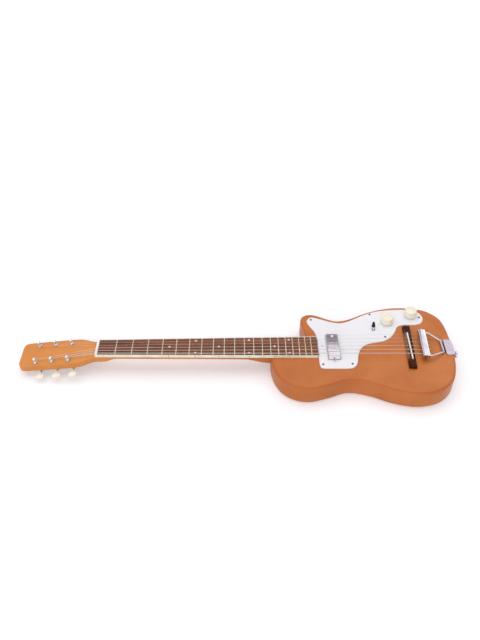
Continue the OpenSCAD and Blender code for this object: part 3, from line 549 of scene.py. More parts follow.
def copper_lacquer(name):
    """Metallic nitrocellulose lacquer, sprayed and buffed: copper that shifts softly from patch to patch,
    painted paler, as painted light, where the piece's pale mark says, with fine flake, a clear coat with
    slight orange peel, and rounded edges painted deeper, as painted shade, and rubbed through in small
    chips."""
    coat = dict(Coat_Weight=0.12, Coat_Roughness=0.12, Coat_IOR=1.5)
    mat, add, shader, place = surface(name, Specular_IOR_Level=0.3, **coat)
    patch = add("TexNoise", Vector=place, Scale=per(70), Detail=3.0)
    shift = add("MapRange", Value=patch, From_Min=0.36, From_Max=0.66)
    # Painted light: where the pale mark is, the copper turns to the paler lit tone.
    plain_tone = add("Mix", {0: shift, 6: "c97536", 7: "bb672b"}, **BLEND)
    lit_tone = add("Mix", {0: shift, 6: "df9249", 7: "d38339"}, **BLEND)
    pale = add("Attribute", out="Fac", attribute_name="pale")
    tone = add("Mix", {0: pale, 6: plain_tone, 7: lit_tone}, **BLEND)
    # Flake is far below a millimetre; it is drawn at 1.5 mm so that it shows at all
    flake = add("TexNoise", Vector=place, Scale=per(1.5), Detail=2.0)
    glint = add("MapRange", Value=flake, To_Min=0.95, To_Max=1.05)
    sparkle = add("Mix", {0: 1.0, 6: tone, 7: glint}, blend_type="MULTIPLY", **BLEND)
    wear = add("Attribute", out="Fac", attribute_name="wear")
    # Painted shade: the rounded edges are mixed half way to a deeper red by the wear mark.
    edge_shade_share = add("Math", {0: wear, 1: 0.5}, operation="MULTIPLY")
    edge = add("Mix", {0: edge_shade_share, 6: sparkle, 7: "b0500f"}, **BLEND)
    chip = add("TexNoise", Vector=place, Scale=per(9), Detail=6.0, Roughness=0.7)
    rubbed = add("Math", {0: chip, 1: wear}, operation="MULTIPLY")
    bared = add("MapRange", Value=rubbed, From_Min=0.66, From_Max=0.7)
    paint = add("Mix", {0: bared, 6: edge, 7: "5b3720"}, **BLEND)
    haze = add("MapRange", Value=patch, To_Min=0.34, To_Max=0.52)
    peel = add("Bump", Height=flake, Strength=0.03, Distance=0.2 * MM)
    feed(shader, Base_Color=paint, Roughness=haze, Normal=peel)
    return mat


def rosewood(name, grain, dark, light, shine, dust=None):
    """Rosewood, planed and oiled: brown with long darker streaks and short open pores along the grain, and
    dust where the wear mark has it. Grain is the streaks' size along x, y and z in millimetres."""
    mat, add, shader, place = surface(name, Specular_IOR_Level=shine)
    scale = tuple(per(g) for g in grain)
    run = add("Mapping", Vector=place, Scale=scale)
    streak = add("TexNoise", Vector=run, Scale=1.0, Detail=4.0, Roughness=0.6)
    shift = add("MapRange", Value=streak, From_Min=0.32, From_Max=0.68)
    wood = add("Mix", {0: shift, 6: dark, 7: light}, **BLEND)
    finer = 3.2
    fine = add("Mapping", Vector=place, Scale=tuple(finer * s for s in scale))
    pore = add("TexNoise", Vector=fine, Scale=1.0, Detail=2.0)
    hollow = add("MapRange", Value=pore, From_Min=0.6, From_Max=0.68, To_Max=0.55)
    shade = add("Mix", {0: hollow, 6: wood, 7: "2a1711"}, **BLEND)
    sheen = add("MapRange", Value=streak, To_Min=0.42, To_Max=0.62)
    dent = add("Bump", Height=hollow, Strength=0.3, Distance=-0.1 * MM)
    if dust:
        wear = add("Attribute", out="Fac", attribute_name="wear")
        film = add("Math", {0: wear, 1: streak}, operation="MULTIPLY")
        shade = add("Mix", {0: film, 6: shade, 7: dust}, **BLEND)
    feed(shader, Base_Color=shade, Roughness=sheen, Normal=dent)
    return mat


def cast_plastic(name, clean, aged, gloss, patch, grime=None, shine=0.45):
    """Moulded or sheet plastic, and bone: one colour, yellowed or dulled in patches, with fine handling
    marks in its gloss, and grime where the wear mark says that dirt collects."""
    mat, add, shader, place = surface(name, Specular_IOR_Level=shine)
    cloud = add("TexNoise", Vector=place, Scale=per(patch), Detail=4.0)
    shift = add("MapRange", Value=cloud, From_Min=0.35, From_Max=0.7)
    tone = add("Mix", {0: shift, 6: clean, 7: aged}, **BLEND)
    # Handling marks are hairlines; they are drawn 0.8 mm wide and 12 mm long, and run slantwise
    size, slant = (per(12), per(0.8), per(0.8)), (0, 0, 0.6)
    hair = add("Mapping", Vector=place, Scale=size, Rotation=slant)
    mark = add("TexNoise", Vector=hair, Scale=1.0, Detail=3.0)
    span = dict(From_Min=0.3, From_Max=0.75, To_Min=gloss, To_Max=gloss + 0.16)
    haze = add("MapRange", Value=mark, **span)
    touch = add("Bump", Height=mark, Strength=0.05, Distance=0.1 * MM)
    feed(shader, Base_Color=where_marked(add, tone, grime), Roughness=haze, Normal=touch)
    return mat


def worked_metal(name, bright, dull, gloss, patch, marked_tone=None):
    """Plated or drawn metal: bright, with duller tarnished patches, fine polishing lines, and a marked tone
    where the wear mark is: bare metal on the guard screws' rims, and on chrome a dark tone that
    paints shade in the hinge plate's fold and darkens the pickup lid's ends."""
    mat, add, shader, place = surface(name, Metallic=1.0)
    cloud = add("TexNoise", Vector=place, Scale=per(patch), Detail=5.0, Roughness=0.6)
    shift = add("MapRange", Value=cloud, From_Min=0.42, From_Max=0.72)
    tone = add("Mix", {0: shift, 6: bright, 7: dull}, **BLEND)
    # Polishing lines are finer than a hair; they are drawn 0.4 mm wide and 3 mm long
    run = add("Mapping", Vector=place, Scale=(per(3), per(0.4), per(0.4)))
    line = add("TexNoise", Vector=run, Scale=1.0, Detail=2.0)
    both = add("Math", {0: shift, 1: line}, operation="ADD")
    span = dict(From_Min=0.3, From_Max=1.5, To_Min=gloss, To_Max=1.6 * gloss + 0.04)
    haze = add("MapRange", Value=both, **span)
    scratch = add("Bump", Height=line, Strength=0.04, Distance=0.1 * MM)
    feed(shader, Base_Color=where_marked(add, tone, marked_tone), Roughness=haze, Normal=scratch)
    return mat


def pearl_inlay(name):
    """Mother-of-pearl, ground flat: a pale shell whose layers turn from cream to faint pink and green."""
    mat, add, shader, place = surface(name, Roughness=0.22, Coat_Weight=0.3, Coat_Roughness=0.1)
    layer = add("TexNoise", Vector=place, Scale=per(2.5), Detail=3.0, Distortion=1.5)
    pink = add("MapRange", Value=layer, From_Min=0.45, From_Max=0.7)
    warm = add("Mix", {0: pink, 6: "e3d9c6", 7: "dfc8bc"}, **BLEND)
    green = add("MapRange", Value=layer, From_Min=0.45, From_Max=0.3)
    shell = add("Mix", {0: green, 6: warm, 7: "c8d0bd"}, **BLEND)
    feed(shader, Base_Color=shell)
    return mat


def wound_wire(name):
    """Round-wound string: nickel wire in close turns on a steel core, seen as ribs along the string's
    length. The wrap is 0.3 mm wide and is drawn at 0.9 mm, so that it shows."""
    mat, add, shader, _ = surface(name, Metallic=1.0, Roughness=0.36)
    along = add("Attribute", out="Fac", attribute_name="along")
    turn = add("Math", {0: along, 1: 2 * math.pi / 0.9}, operation="MULTIPLY")
    wave = add("Math", {0: turn}, operation="SINE")
    groove = add("MapRange", Value=wave, From_Min=-1.0)
    # Painted shade: the grooves between turns take the darker tone, besides the bump.
    tone = add("Mix", {0: groove, 6: "b3aba4", 7: "efe9e4"}, **BLEND)
    ridge = add("Bump", Height=groove, Strength=0.5, Distance=0.15 * MM)
    feed(shader, Base_Color=tone, Normal=ridge)
    return mat


def wire_cloth(name):
    """Waxed cotton braid on hook-up wire: a fuzzy straw weave of 0.8 mm threads."""
    mat, add, shader, place = surface(name, Roughness=0.9, Sheen_Weight=0.3)
    straw = dict(Color1="c7a768", Color2="94763f")
    weave = add("TexChecker", Vector=place, Scale=per(0.8), **straw, out="Color")
    thread = add("Bump", Height=weave.node.outputs["Fac"], Strength=0.4, Distance=0.1 * MM)
    feed(shader, Base_Color=weave, Normal=thread)
    return mat


# Woods: the board's streaks run along the neck; the bridge's run along its bar, darker and drier
copper = copper_lacquer("copper_lacquer")
board_wood = rosewood("rosewood_fretboard", (90, 1.8, 1.8), "3f1d0d", "9a5838", 0.32)
bridge_wood = rosewood("rosewood_bridge", (2.2, 26, 2.2), "1d0c08", "562413", 0.11, dust="c08a66")

# Plastics, shell and bone: soft gloss, from the guard's clean white through cream to near black
celluloid = cast_plastic("celluloid_binding", "f6f7ea", "e2e1cb", 0.3, 25)
pearl = pearl_inlay("mother_of_pearl")
black_plastic = cast_plastic("black_phenolic", "080809", "111010", 0.3, 6, shine=0.22)
bone = cast_plastic("polished_bone", "fdfcf6", "f5f0e2", 0.32, 9)
white_plastic = cast_plastic("white_sheet_plastic", "f2f0f4", "eeecef", 0.26, 60)
cream_plastic = cast_plastic("cream_moulded_plastic", "faf5e5", "f5edd5", 0.3, 14, grime="d9c9a0")

# Metals in view: chrome is a near mirror, with a dark marked tone: painted shade by the hinge plate's hook,
# and a darker band at the pickup lid's ends; nickel is satin to polished, nickel silver yellower; the
# guard's screws are brown with tarnish but for a bare rim
dark_steel = worked_metal("tarnished_steel", "4a3d36", "241c19", 0.35, 2, marked_tone="a39a98")
chrome = worked_metal("chrome_plate", "cac3cb", "b8b1b8", 0.015, 16, marked_tone="2c2421")
brushed_chrome = worked_metal("brushed_chrome", "c4bbc5", "b8afb8", 0.2, 16, marked_tone="2c2421")
nickel = worked_metal("nickel_plate", "cdc9c0", "a39c8e", 0.2, 6)
bright_nickel = worked_metal("polished_nickel", "efecea", "d9d4cf", 0.12, 6)
satin_nickel = worked_metal("satin_nickel", "f2f0f0", "e2dfde", 0.34, 6)
fret_metal = worked_metal("nickel_silver", "e2d9b4", "c4b78c", 0.24, 8)
plain_wire = worked_metal("drawn_steel_wire", "e6e4e8", "cfcccc", 0.2, 20)
wrapped_wire = wound_wire("nickel_wound_wire")
brass = worked_metal("brass_ball_end", "c9a55a", "93733a", 0.25, 2)

# Inside the body: dull steel, black bobbin, brown wax and straw braid
can_steel = worked_metal("zinc_plated_steel", "a7a7a4", "858480", 0.35, 5)
rod_steel = worked_metal("bar_steel", "66655f", "4a4743", 0.45, 12)
magnet_steel = worked_metal("ground_magnet_steel", "5d5d60", "454547", 0.4, 4)
bobbin = cast_plastic("black_bobbin_plastic", "141415", "1f1e1d", 0.45, 8)
capacitor_wax = cast_plastic("waxed_paper", "c08434", "a5692a", 0.4, 5)
cloth_wire = wire_cloth("waxed_cotton_braid")


# Body and neck


def make_body():
    """Slab over the body outline with quarter-round edges, less its pockets and holes. Beside the neck the
    outline is held to the heel's side, which its curve would overshoot."""
    edge = curve_through(BODY_POINTS, CURVE_STEPS)
    mouth_x, mouth_y = 57, 21
    beside_neck = (edge[:, 0] < mouth_x) & (edge[:, 1] > mouth_y)
    edge[beside_neck, 1] = np.minimum(edge[beside_neck, 1], HEEL_HALF)
    edge += (JOIN_X, 0)
    a = angles(0, 90, 10)
    turn = EDGE_R * grid(1 - np.cos(a), 1 - np.sin(a))
    lower = [(EDGE_R + FLAT_RIM, 0), *turn[::-1].tolist()]
    steps = lower + [(d, BODY_T - z) for d, z in lower[::-1]]
    # The mark peaks on the rounded edge, where the copper paints shade and rubs through in chips.
    wear = [math.sin(math.pi * min(1, d / EDGE_R)) for d, z in steps]
    neck_half, hole, recess = HEEL_HALF + GAP, JACK_HOLE_R, JACK_RECESS_R
    inner, seat, past_neck, past_rim, past_tail = JACK_INNER_Y, JACK_SEAT_Y, 20, 14, 10
    socket = [(hole, inner), (hole, seat), (recess, seat), (recess, HALF_WIDTH + past_rim)]
    pin = rod(PIN_HOLE_R, TAIL_X - PIN_DEPTH, TAIL_X + past_tail)
    pocket = round_rect(POCKET_W, POCKET_L, 4) + (PICKUP_X, 0)
    channel_low = (PICKUP_X + CHANNEL_REACH[0], CHANNEL_Y[0], BODY_T - CHANNEL_DEPTH)
    cutters = [
        block((JOIN_X - past_neck, -neck_half, HEEL_FLOOR), (TENON_END + GAP, neck_half, OVER_BODY)),
        skin(plate(pocket, [(0, BODY_T - POCKET_DEPTH), (0, OVER_BODY)])),
        skin(plate(np.array(CAVITY_POINTS, float), [(0, CAVITY_FLOOR), (0, OVER_BODY)])),
        block(channel_low, (PICKUP_X + CHANNEL_REACH[1], CHANNEL_Y[1], OVER_BODY)),
        skin(along_y(revolve(socket, 48)) + (JACK_X, 0, JACK_Z)),
        skin(along_x(pin) + (0, 0, PIN_Z)),
    ]
    slab = skin(plate(edge, steps), wear=wear)
    piece("body_wood", [slab], [copper], "body", cutters=cutters)


def board_half(x):
    """Half of the fingerboard's width, which grows evenly from the nut."""
    return (NUT_WIDTH + (BOARD_END_WIDTH - NUT_WIDTH) * x / BOARD_END) / 2


def neck_rows(x, top, half, depth, power, corner):
    """Sections square to X. The underside is the superellipse y = h cos^(2/p), z = -d sin^(2/p), and round
    corners join it to the flat top."""
    given = (x, top, half, depth, power, corner)
    x, top, half, depth, power, corner = (v[:, None] for v in np.broadcast_arrays(*given))
    t = angles(180, 360, 57)[None]
    y_low = half * signed_power(np.cos(t), 2 / power)
    z_low = top - corner - (depth - corner) * np.abs(np.sin(t)) ** (2 / power)
    a = angles(15, 90, 6)[None]
    y_turn = half - corner + corner * np.cos(a)
    z_turn = top - corner + corner * np.sin(a)
    middle = np.linspace(0.8, -0.8, 9)[None]
    y = np.concatenate([y_low, y_turn, (half - corner) * middle, -y_turn[:, ::-1]], 1)
    z = np.concatenate([z_low, z_turn, top + 0 * middle, z_turn[:, ::-1]], 1)
    return grid(x, y, z)


def make_neck():
    """Neck in one skin: headstock, round grip, heel and square tenon, holed for the posts and the rod.
    It is painted paler, as painted light, over the headstock and the start of the grip, less and less
    towards the heel."""
    head_rows, crisp, past = 70, 0.05, 5
    a = angles(0, 90, 5)
    u = join(HEAD_LENGTH - TIP_R * (1 - np.cos(a)), np.linspace(HEAD_LENGTH - 2.2, 1, head_rows))
    pull = join(TIP_R * (1 - np.sin(a)), np.zeros(head_rows))
    head = neck_rows(
        -NUT_T - u * math.cos(TILT), BODY_T - u * math.sin(TILT) - pull, cubic_at(u, *HEAD_HALVES.T) - pull,
        HEAD_T / math.cos(TILT) - 2 * pull, SQUARE_POWER, HEAD_CORNER * (1 - 0.5 * ease(u, 8, 0)),
    )
    x = join(np.linspace(-NUT_T, 60, 34), np.linspace(64, JOIN_X, 66))
    heel = ease(x, HEEL_START, JOIN_X)
    squared = (1 - ease(x, -NUT_T, 45)) ** 3
    stick = neck_rows(
        x, BODY_T, board_half(np.maximum(x, 0)), NECK_DEPTH + NECK_GROWTH * x / JOIN_X + HEEL_GROWTH * heel,
        ROUND_POWER + (SQUARE_POWER - ROUND_POWER) * squared + 3 * heel, crisp,
    )
    tenon_x = np.array([JOIN_X + GAP, TENON_END])
    tenon = neck_rows(tenon_x, BODY_T, HEEL_HALF, BODY_T - HEEL_FLOOR, 2 * SQUARE_POWER, crisp)
    rows = join(head, stick, tenon)
    # The headstock's rounded tip takes the copper's edge mark: painted shade and chips.
    wear = join(0.6 * pull / TIP_R, np.zeros(len(stick) + len(tenon)))
    # Painted light: the pale mark is full up to PAINTED_LIGHT_X and gone 30 mm before the joint.
    pale = 1 - ease(rows[:, 0, 0], PAINTED_LIGHT_X, JOIN_X - 30)
    slot_low = (ROD_SLOT_X[0], -ROD_SLOT_HALF, BODY_T - ROD_SLOT_DEPTH)
    slot = block(slot_low, (ROD_SLOT_X[1], ROD_SLOT_HALF, OVER_BODY))
    holes = [skin(at_tuner(i, rod(POST_HOLE_R, -HEAD_T - past, past))) for i in STRINGS]
    stock = skin(rows, wear=wear, pale=pale)
    piece("neck_wood", [stock], [copper], "neck", cutters=[slot, *holes])


def make_frets():
    """Frets: a half-round crown (r cos a, r sin a) with sloping ends, over a shorter tang."""
    a = angles(0, 180, 15)
    across = join(FRET_R * np.cos(a), [-TANG_HALF, -TANG_HALF, TANG_HALF, TANG_HALF])[::-1]
    crown = join(FRET_R * np.sin(a), np.zeros(4))[::-1]
    tang = join(0 * a, [-0.01, -TANG_DEPTH, -TANG_DEPTH, -0.01])[::-1]
    from_end = np.array([0, 0.5, 1.1])
    rise = np.array([0.3, 0.75, 1, 1, 0.75, 0.3])[:, None]
    keep = np.array([0.05, 0.1, 1, 1, 0.1, 0.05])[:, None]
    shapes = []
    for n in range(1, FRET_COUNT + 1):
        half = board_half(fret_x(n))
        y = join(from_end - half, half - from_end[::-1])[:, None]
        z = BOARD_Z + crown * rise + tang * keep
        shapes.append(skin(grid(fret_x(n) + across, y, z)))
    piece("fret_wires", shapes, [fret_metal], "frets")


# Pickguard, pickup and controls


def make_pickguard():
    """Sheet plastic over the guard outline, bevelled above, holed for the pickup, screws and controls."""
    edge = curve_through(GUARD_POINTS, CURVE_STEPS)
    steps = [(0.15, 0), (0, 0.15), (0, 1.2), (0.15, 1.55), (0.85, 2.3), (1.15, 2.46), (1.5, 2.5), (2.1, 2.5)]
    opening = round_rect(PICKUP_W + LID_GAP, PICKUP_L + LID_GAP, 2.3) + (PICKUP_X, 0)
    low, high = BODY_T - 5, GUARD_Z + 5
    ears = [(PICKUP_X, s * EAR_HOLE) for s in (-1, 1)]
    cutters = [
        skin(plate(opening, [(0, low), (0, high)])),
        *[drill(p, SCREW_HOLE_R, low, high, 20) for p in GUARD_SCREWS + ears],
        *[drill(p, SHAFT_HOLE_R, low, high) for p in (TONE_AT, VOLUME_AT)],
        drill(SWITCH_AT, SWITCH_HOLE_R, low, high),
    ]
    rows = plate(edge, [(d, BODY_T + z) for d, z in steps])
    piece("pickguard_sheet", [skin(rows)], [white_plastic], "pickguard", cutters=cutters)


def make_guard_screws():
    """Slotted oval-head screws: a turned shank, and a crown z = h sqrt(1 - (r / R)^2) cut across by a slot.
    The one by the fingerboard is bright, and the others are dark with a bare rim."""
    rim_h, crown_h, shank_r, seat = 0.15, 0.85, 1.4, 0.02
    r = SCREW_HEAD_R * np.cos(angles(8, 86, 9))
    crown = grid(r, rim_h + crown_h * np.sqrt(1 - (r / SCREW_HEAD_R) ** 2))
    shank = [(0.5, -14), (shank_r, -12.5), (shank_r, seat), (SCREW_HEAD_R, seat)]
    profile = join(shank, crown)
    rim = ease(profile[:, 0], 1.3, 2.1)
    slot = block((-3, -0.36, 0.45), (3, 0.36, 2))
    shapes, slots = [], []
    for x, y in GUARD_SCREWS:
        at = (x, y, GUARD_Z)
        shapes.append(skin(revolve(profile, 28) + at, finish=int((x, y) == BRIGHT_SCREW), wear=rim))
        slots.append({**slot, "points": turned(slot["points"], math.radians(x), at)})
    piece("guard_screws", shapes, [dark_steel, satin_nickel], "pickguard_screws", cutters=slots)


def make_pickup_cover():
    """Drawn metal lid: one skin from its inner ceiling round its rim and up over a rounded top with a
    pressed line. Above the guard its ends draw in, y (1 - k) with k growing evenly to the top. At each end
    an ear stands out, and the plating is mixed a little towards a dark tone."""
    top, wall, roll, foot = PICKUP_TOP, PICKUP_WALL, 1.3, GUARD_Z + 1
    a = angles(90, 0, 7)
    shoulder = grid(roll * (1 - np.sin(a)), top - roll * (1 - np.cos(a)))
    low = [(wall, top - wall), (wall, foot), (wall, PICKUP_BASE), (0, PICKUP_BASE), (0, foot)]
    line = [(1.55, top), (1.7, top - 0.3), (2.1, top - 0.3), (2.25, top), (2.5, top)]
    lid = plate(round_rect(PICKUP_W, PICKUP_L, 2.6, 8), join(low, shoulder, line))
    climb = np.clip((lid[..., 2] - foot) / (top - foot), 0, 1)
    lid[..., 1] *= 1 - climb * END_SLOPE / (PICKUP_L / 2)
    # The ends are darkened by about a quarter towards the chrome's dark marked tone.
    dull = 0.26 * ease(np.abs(lid[..., 1]), 31, 32.5)
    half, inner, tip = EAR_W / 2, (PICKUP_L - wall) / 2, EAR_END - EAR_R
    corners = [arc((half - EAR_R, tip), EAR_R, 0, 90, 6), arc((EAR_R - half, tip), EAR_R, 90, 180, 6)]
    tab = join([(-half, inner), (half, inner)], *corners)
    levels = [(0.1, GUARD_Z + 0.02), (0, GUARD_Z + 0.15), (0, GUARD_Z + 0.7), (0.2, GUARD_Z + 0.9)]
    ears = [skin(plate(s * tab, levels) + (PICKUP_X, 0, 0)) for s in (1, -1)]
    places = [(PICKUP_X, s * y) for s in (-1, 1) for y in (EAR_HOLE, POLE_Y)]
    holes = [drill(p, SCREW_HOLE_R, BODY_T, top + 3, 20) for p in places]
    shapes = [skin(lid + (PICKUP_X, 0, 0), wear=dull), *ears]
    piece("pickup_lid", shapes, [chrome], "pickup_cover", cutters=holes)


def make_knob(name, at, body, node_name):
    """Turned knob, hollow below: a tapered barrel, a rounded shoulder and a domed top, given as (radius,
    depth), with grime in its two rings."""
    r, h = KNOB_R, KNOB_H
    inside = [(0.4, -11.5), (3, -11.5), (3, 4.4), (8, 4.4), (8.6, 0)]
    barrel = [(r - 0.5, 0), (r - 0.1, 0.25), (r, 0.8), (r - 0.25, 5)]
    shoulder = arc((r - 3.9, h - 3.8), 3.3, 3, 78, 10)
    outer_ring, inner_ring = [(7.8, 1.15), (7.3, 1.2)], [(4.7, 0.75), (4.3, 0.78)]
    step, dome = [(7, 0.75), (6.2, 0.55), (4.9, 0.4)], [(4.1, 0.35), (2.5, 0.12), (0.4, 0)]
    top = np.array([(8, 0.75), *outer_ring, *step, *inner_ring, *dome]) * (1, -1) + (0, h)
    profile = join(inside, barrel, shoulder, top)
    wear = 0.55 * np.isin(profile[:, 0], [radius for radius, _ in outer_ring + inner_ring])
    rows = revolve(profile, 96) + (*at, GUARD_Z + KNOB_GAP)
    piece(name, [skin(rows, wear=wear)], [cream_plastic], node_name, body)


def make_lever():
    """Toggle lever: a plated ball and stem that carry a drop-shaped tip, leaning to the treble side."""
    c, s = math.cos(LEVER_LEAN), math.sin(LEVER_LEAN)
    stem_r, stem_top, tip_low, axis = 1.25, 6.4, 5.5, 0.1
    stem = [(stem_r, 1.75), (stem_r, stem_top), (axis, stem_top)]
    shaft = join(arc((0, 0), 2.05, -88, 45, 12), stem)
    tip = join(
        [(axis, tip_low), (2.6, tip_low)], arc((2.6, 6.6), 1.1, -80, 10, 5),
        [(3.7, 8.2), (3.5, 10.8), (2.8, 13.6)], arc((0, 15.5), 2.1, 8, 88, 8),
    )
    shapes = []
    for finish, profile in enumerate((shaft, tip)):
        x, y, z = np.moveaxis(revolve(profile, 40), -1, 0)
        rows = grid(x, y * c + z * s, z * c - y * s) + (*SWITCH_AT, SWITCH_Z)
        shapes.append(skin(rows, finish=finish))
    piece("lever", shapes, [satin_nickel, black_plastic], "switch_lever", body="toggle")


def make_wiring():
    """Cloth-covered leads: a tube along each run from the pickup to the switch, controls and socket."""
    pot_z, lug_z, lead_r, bend_r = BODY_T - 12.4, BODY_T - 17.9, 0.8, 4
    runs = [
        [(470, 30, 36), (484, 33, 36), (520, 33, 35), (541, 37, 33), (543, 40, 22), (551, 43, lug_z)],
        [(556, 54, lug_z), (566, 64, 20), (574, 72, 24), (579, 74, pot_z)],
        [(589, 74, pot_z), (596, 77, 25), (618, 80, 28.5), (630, 83, pot_z)],
        [(638, 88, pot_z), (636, 92, 24), (627, 95, 27.5), (621, 94.5, 31.5)],
    ]
    shapes = [skin(tube(eased_path(run, bend_r, 8), lead_r, 12)) for run in runs]
    piece("cloth_leads", shapes, [cloth_wire], "wiring")


# Bridge and tailpiece


def make_bridge():
    """Bridge base: a bar with sloping sides and eased corners, whose top falls at both ends on a quarter
    ellipse. It is set askew, the saddle's slot slants less, and dust lies along its front."""
    z, side, brow, front_h, rear_h = BODY_T, 0.5 * BRIDGE_W, 0.3 * BRIDGE_W, 3.5, 5
    front = [(-side, z), (-side, z + front_h), (-brow, z + BRIDGE_H)]
    rear = [(brow, z + BRIDGE_H), (side, z + rear_h), (side, z)]
    corners = np.array(front + rear)
    section = eased(np.roll(corners, 1, 0), corners, np.roll(corners, -1, 0), 0.7, 5)
    half, end_h, fall = BRIDGE_L / 2, 5.4, 6
    tip = np.array([0, 0.4, 1, 2, 3, 4, 5, 6, 8])
    y = join(tip - half, np.linspace(15 - half, half - 15, 12), half - tip[::-1])
    reach = np.minimum(half - np.abs(y), fall) / fall
    ceiling = z + end_h + (BRIDGE_H - end_h) * np.sqrt(1 - (1 - reach) ** 2)
    rows = grid(section[:, 0], y[:, None], np.minimum(section[:, 1], ceiling[:, None]))
    reach_x, reach_y = SADDLE_T / 2 + 0.02, SADDLE_L / 2 + 0.02
    slot = block((-reach_x, SADDLE_OFF - reach_y, z + BRIDGE_H - 5), (reach_x, SADDLE_OFF + reach_y, z + 30))
    slot["points"] = turned(slot["points"], SADDLE_TURN, (SADDLE_X, 0, 0))
    dust = ease(-rows[..., 0], 0.2 * BRIDGE_W, 0.35 * BRIDGE_W) * ease(np.abs(rows[..., 1]), 44, 26)
    base = skin(turned(rows, BRIDGE_TURN, BRIDGE_AT), wear=dust)
    piece("bridge_bar", [base], [bridge_wood], "bridge_base", cutters=[slot], bevel=0.25)


def make_tailpiece_bar():
    """Folded channel that holds the ball ends: its top falls to the rear between two bends, its front is
    holed and its rear slotted for the strings."""
    bend, fall, hole_r, slot_half, past = 4, 1.7, 1.5, 1, 4
    low, high, sheet = BAR_X0 + bend, BAR_X1 - BAR_R, BAR_R - PLATE_T
    front, rear = (low, BAR_TOP - bend), (high, BAR_TOP - fall - BAR_R)
    crown = 90 - math.degrees(math.atan(fall / (high - low)))
    front_z, rear_z = BODY_T + 4.5, BODY_T + 8
    section = join(
        [(BAR_X0, front_z)], arc(front, bend, 180, crown, 12), arc(rear, BAR_R, crown, 0, 8),
        [(BAR_X1, rear_z), (BAR_X1 - PLATE_T, rear_z)], arc(rear, sheet, 0, crown, 4),
        arc(front, bend - PLATE_T, crown, 180, 8), [(BAR_X0 + PLATE_T, front_z)],
    )
    cutters = []
    for i in STRINGS:
        y = saddle_y(i)
        hole = along_x(rod(hole_r, BAR_X0 - 1, BAR_X0 + 3, 20)) + (0, y, BAR_STRING_Z + 0.8)
        slot_high = (BAR_X1 + past, y + slot_half, BAR_STRING_Z + 0.7)
        cutters += [skin(hole), block((BAR_X1 - past, y - slot_half, rear_z - 1), slot_high)]
    eye = along_x(rod(WIRE_R + GAP, BAR_X1 - past, BAR_X1 + past, 24))
    cutters += [skin(eye + (0, s * WIRE_Y, BAR_STRING_Z)) for s in (-1, 1)]
    for cutter in cutters:
        cutter["points"] = at_bar(cutter["points"])
    channel = skin(at_bar(bar(section, -BAR_HALF, BAR_HALF)))
    piece("tailpiece_channel", [channel], [chrome], "tailpiece_bar", cutters=cutters, bevel=0.3)


def hinge_sheet():
    """Plate in one strip: hooked round the rod, flat on the top, bent at the edge and down the tail. Its
    two faces are paths (x, z), as wide as the cut blank is there. Painted shade darkens the fold by the
    hook."""
    hook_steps = 24
    axis, bend = (HINGE_X, HINGE_Z), (TAIL_X - BEND_R, BODY_T - BEND_R)
    flat_x = np.linspace(HINGE_X + 0.6, bend[0], 28)[:-1]
    drop_z = np.linspace(bend[1], PLATE_LOW, 24)[1:]
    faces = []
    for hook_r, rise in ((BARREL_R, GAP), (WIRE_R + GAP, PLATE_T)):
        flat = grid(flat_x, BODY_T + rise)
        drop = grid(TAIL_X + rise, drop_z)
        hook = arc(axis, hook_r, 80, 270, hook_steps)
        faces.append(join(hook, flat, arc(bend, BEND_R + rise, 90, 0, 10), drop))
    under_x, under_z = faces[0].T
    past_rod = np.where(np.arange(len(under_x)) > hook_steps, under_x - HINGE_X, 0)
    along = [0, 4.5, 5.5, 7, 10, 13, 18, 22]
    across = np.interp(past_rod, along, [HINGE_HALF, 13.5, 17.5, 20, 21, 21, 20, 18.8])
    down = np.interp(under_z, [PLATE_LOW, 12, 26, 37, 40], [7.5, 9.8, 16, 18, 18.8])
    half = np.minimum(across, np.where(under_x > bend[0], down, np.inf))[:, None]
    share = np.linspace(-1, 1, 17)
    low, high = (grid(f[:, :1], half * share, f[:, 1:]) for f in faces)
    # Painted shade: a dark band on the plate just past the hook, standing in for the shadow gap there.
    crease_shade = ease(past_rod, 0, 1.4) * ease(past_rod, 6.4, 5)
    return skin(np.concatenate([low, high[:, ::-1]], 1), wear=crease_shade)


def make_trapeze():
    """One bent wire from the bar to its hinge rod and back, and the plate that is hooked round the rod."""
    hold = np.array([(BAR_X0 + 3, WIRE_Y, BAR_STRING_Z), (BAR_X1 + 5, WIRE_Y, BAR_STRING_Z)])
    corner = np.array([(HINGE_X - 3, 17, HINGE_Z + 0.8), (HINGE_X, 16, HINGE_Z)])
    mirror = (1, -1, 1)
    path = join(at_bar(hold), corner, (corner * mirror)[::-1], at_bar(hold * mirror)[::-1])
    wire = tube(eased_path(path, 1.6, 8), WIRE_R, 16)
    piece("trapeze_wire", [skin(wire)], [chrome], "tailpiece_frame")
    piece("trapeze_plate", [hinge_sheet()], [brushed_chrome], "tailpiece_hinge", bevel=0.3)


# Strings


def nut_y(i):
    """Place of string i across the nut."""
    return NUT_SPREAD / 2 - NUT_SPREAD / 5 * (i - 1)


def saddle_y(i):
    """Place of string i across the saddle."""
    return STRING_SHIFT + SADDLE_SPREAD / 2 - SADDLE_SPREAD / 5 * (i - 1)


def winding(i, start):
    """Helix round post i: it starts at the tangent from start to the post's inner side, climbs one pitch a
    turn and ends with a short straight piece."""
    d, side, u, per_turn = STRING_D[i - 1], side_of(i), place_of(i), 48
    radius = WAIST_R + 0.2 + d / 2
    from_nut = (start[0] + NUT_T) * math.cos(TILT) + (start[2] - BODY_T) * math.sin(TILT)
    away = np.array([-u - from_nut, side * POST_V - start[1]])
    aim = math.atan2(away[1], away[0]) + side * math.asin(radius / np.hypot(*away))
    turn = np.arange(round(per_turn * STRING_TURNS[i - 1]) + 1) / per_turn
    a = aim + side * math.pi / 2 - side * 2 * math.pi * turn
    x, y = -u + radius * np.cos(a), side * POST_V + radius * np.sin(a)
    helix = on_head(grid(x, y, WIND_W + (d + TURN_GAP) * turn))
    return join(helix, helix[-1:] + d * unit(helix[-1:] - helix[-2:-1]))


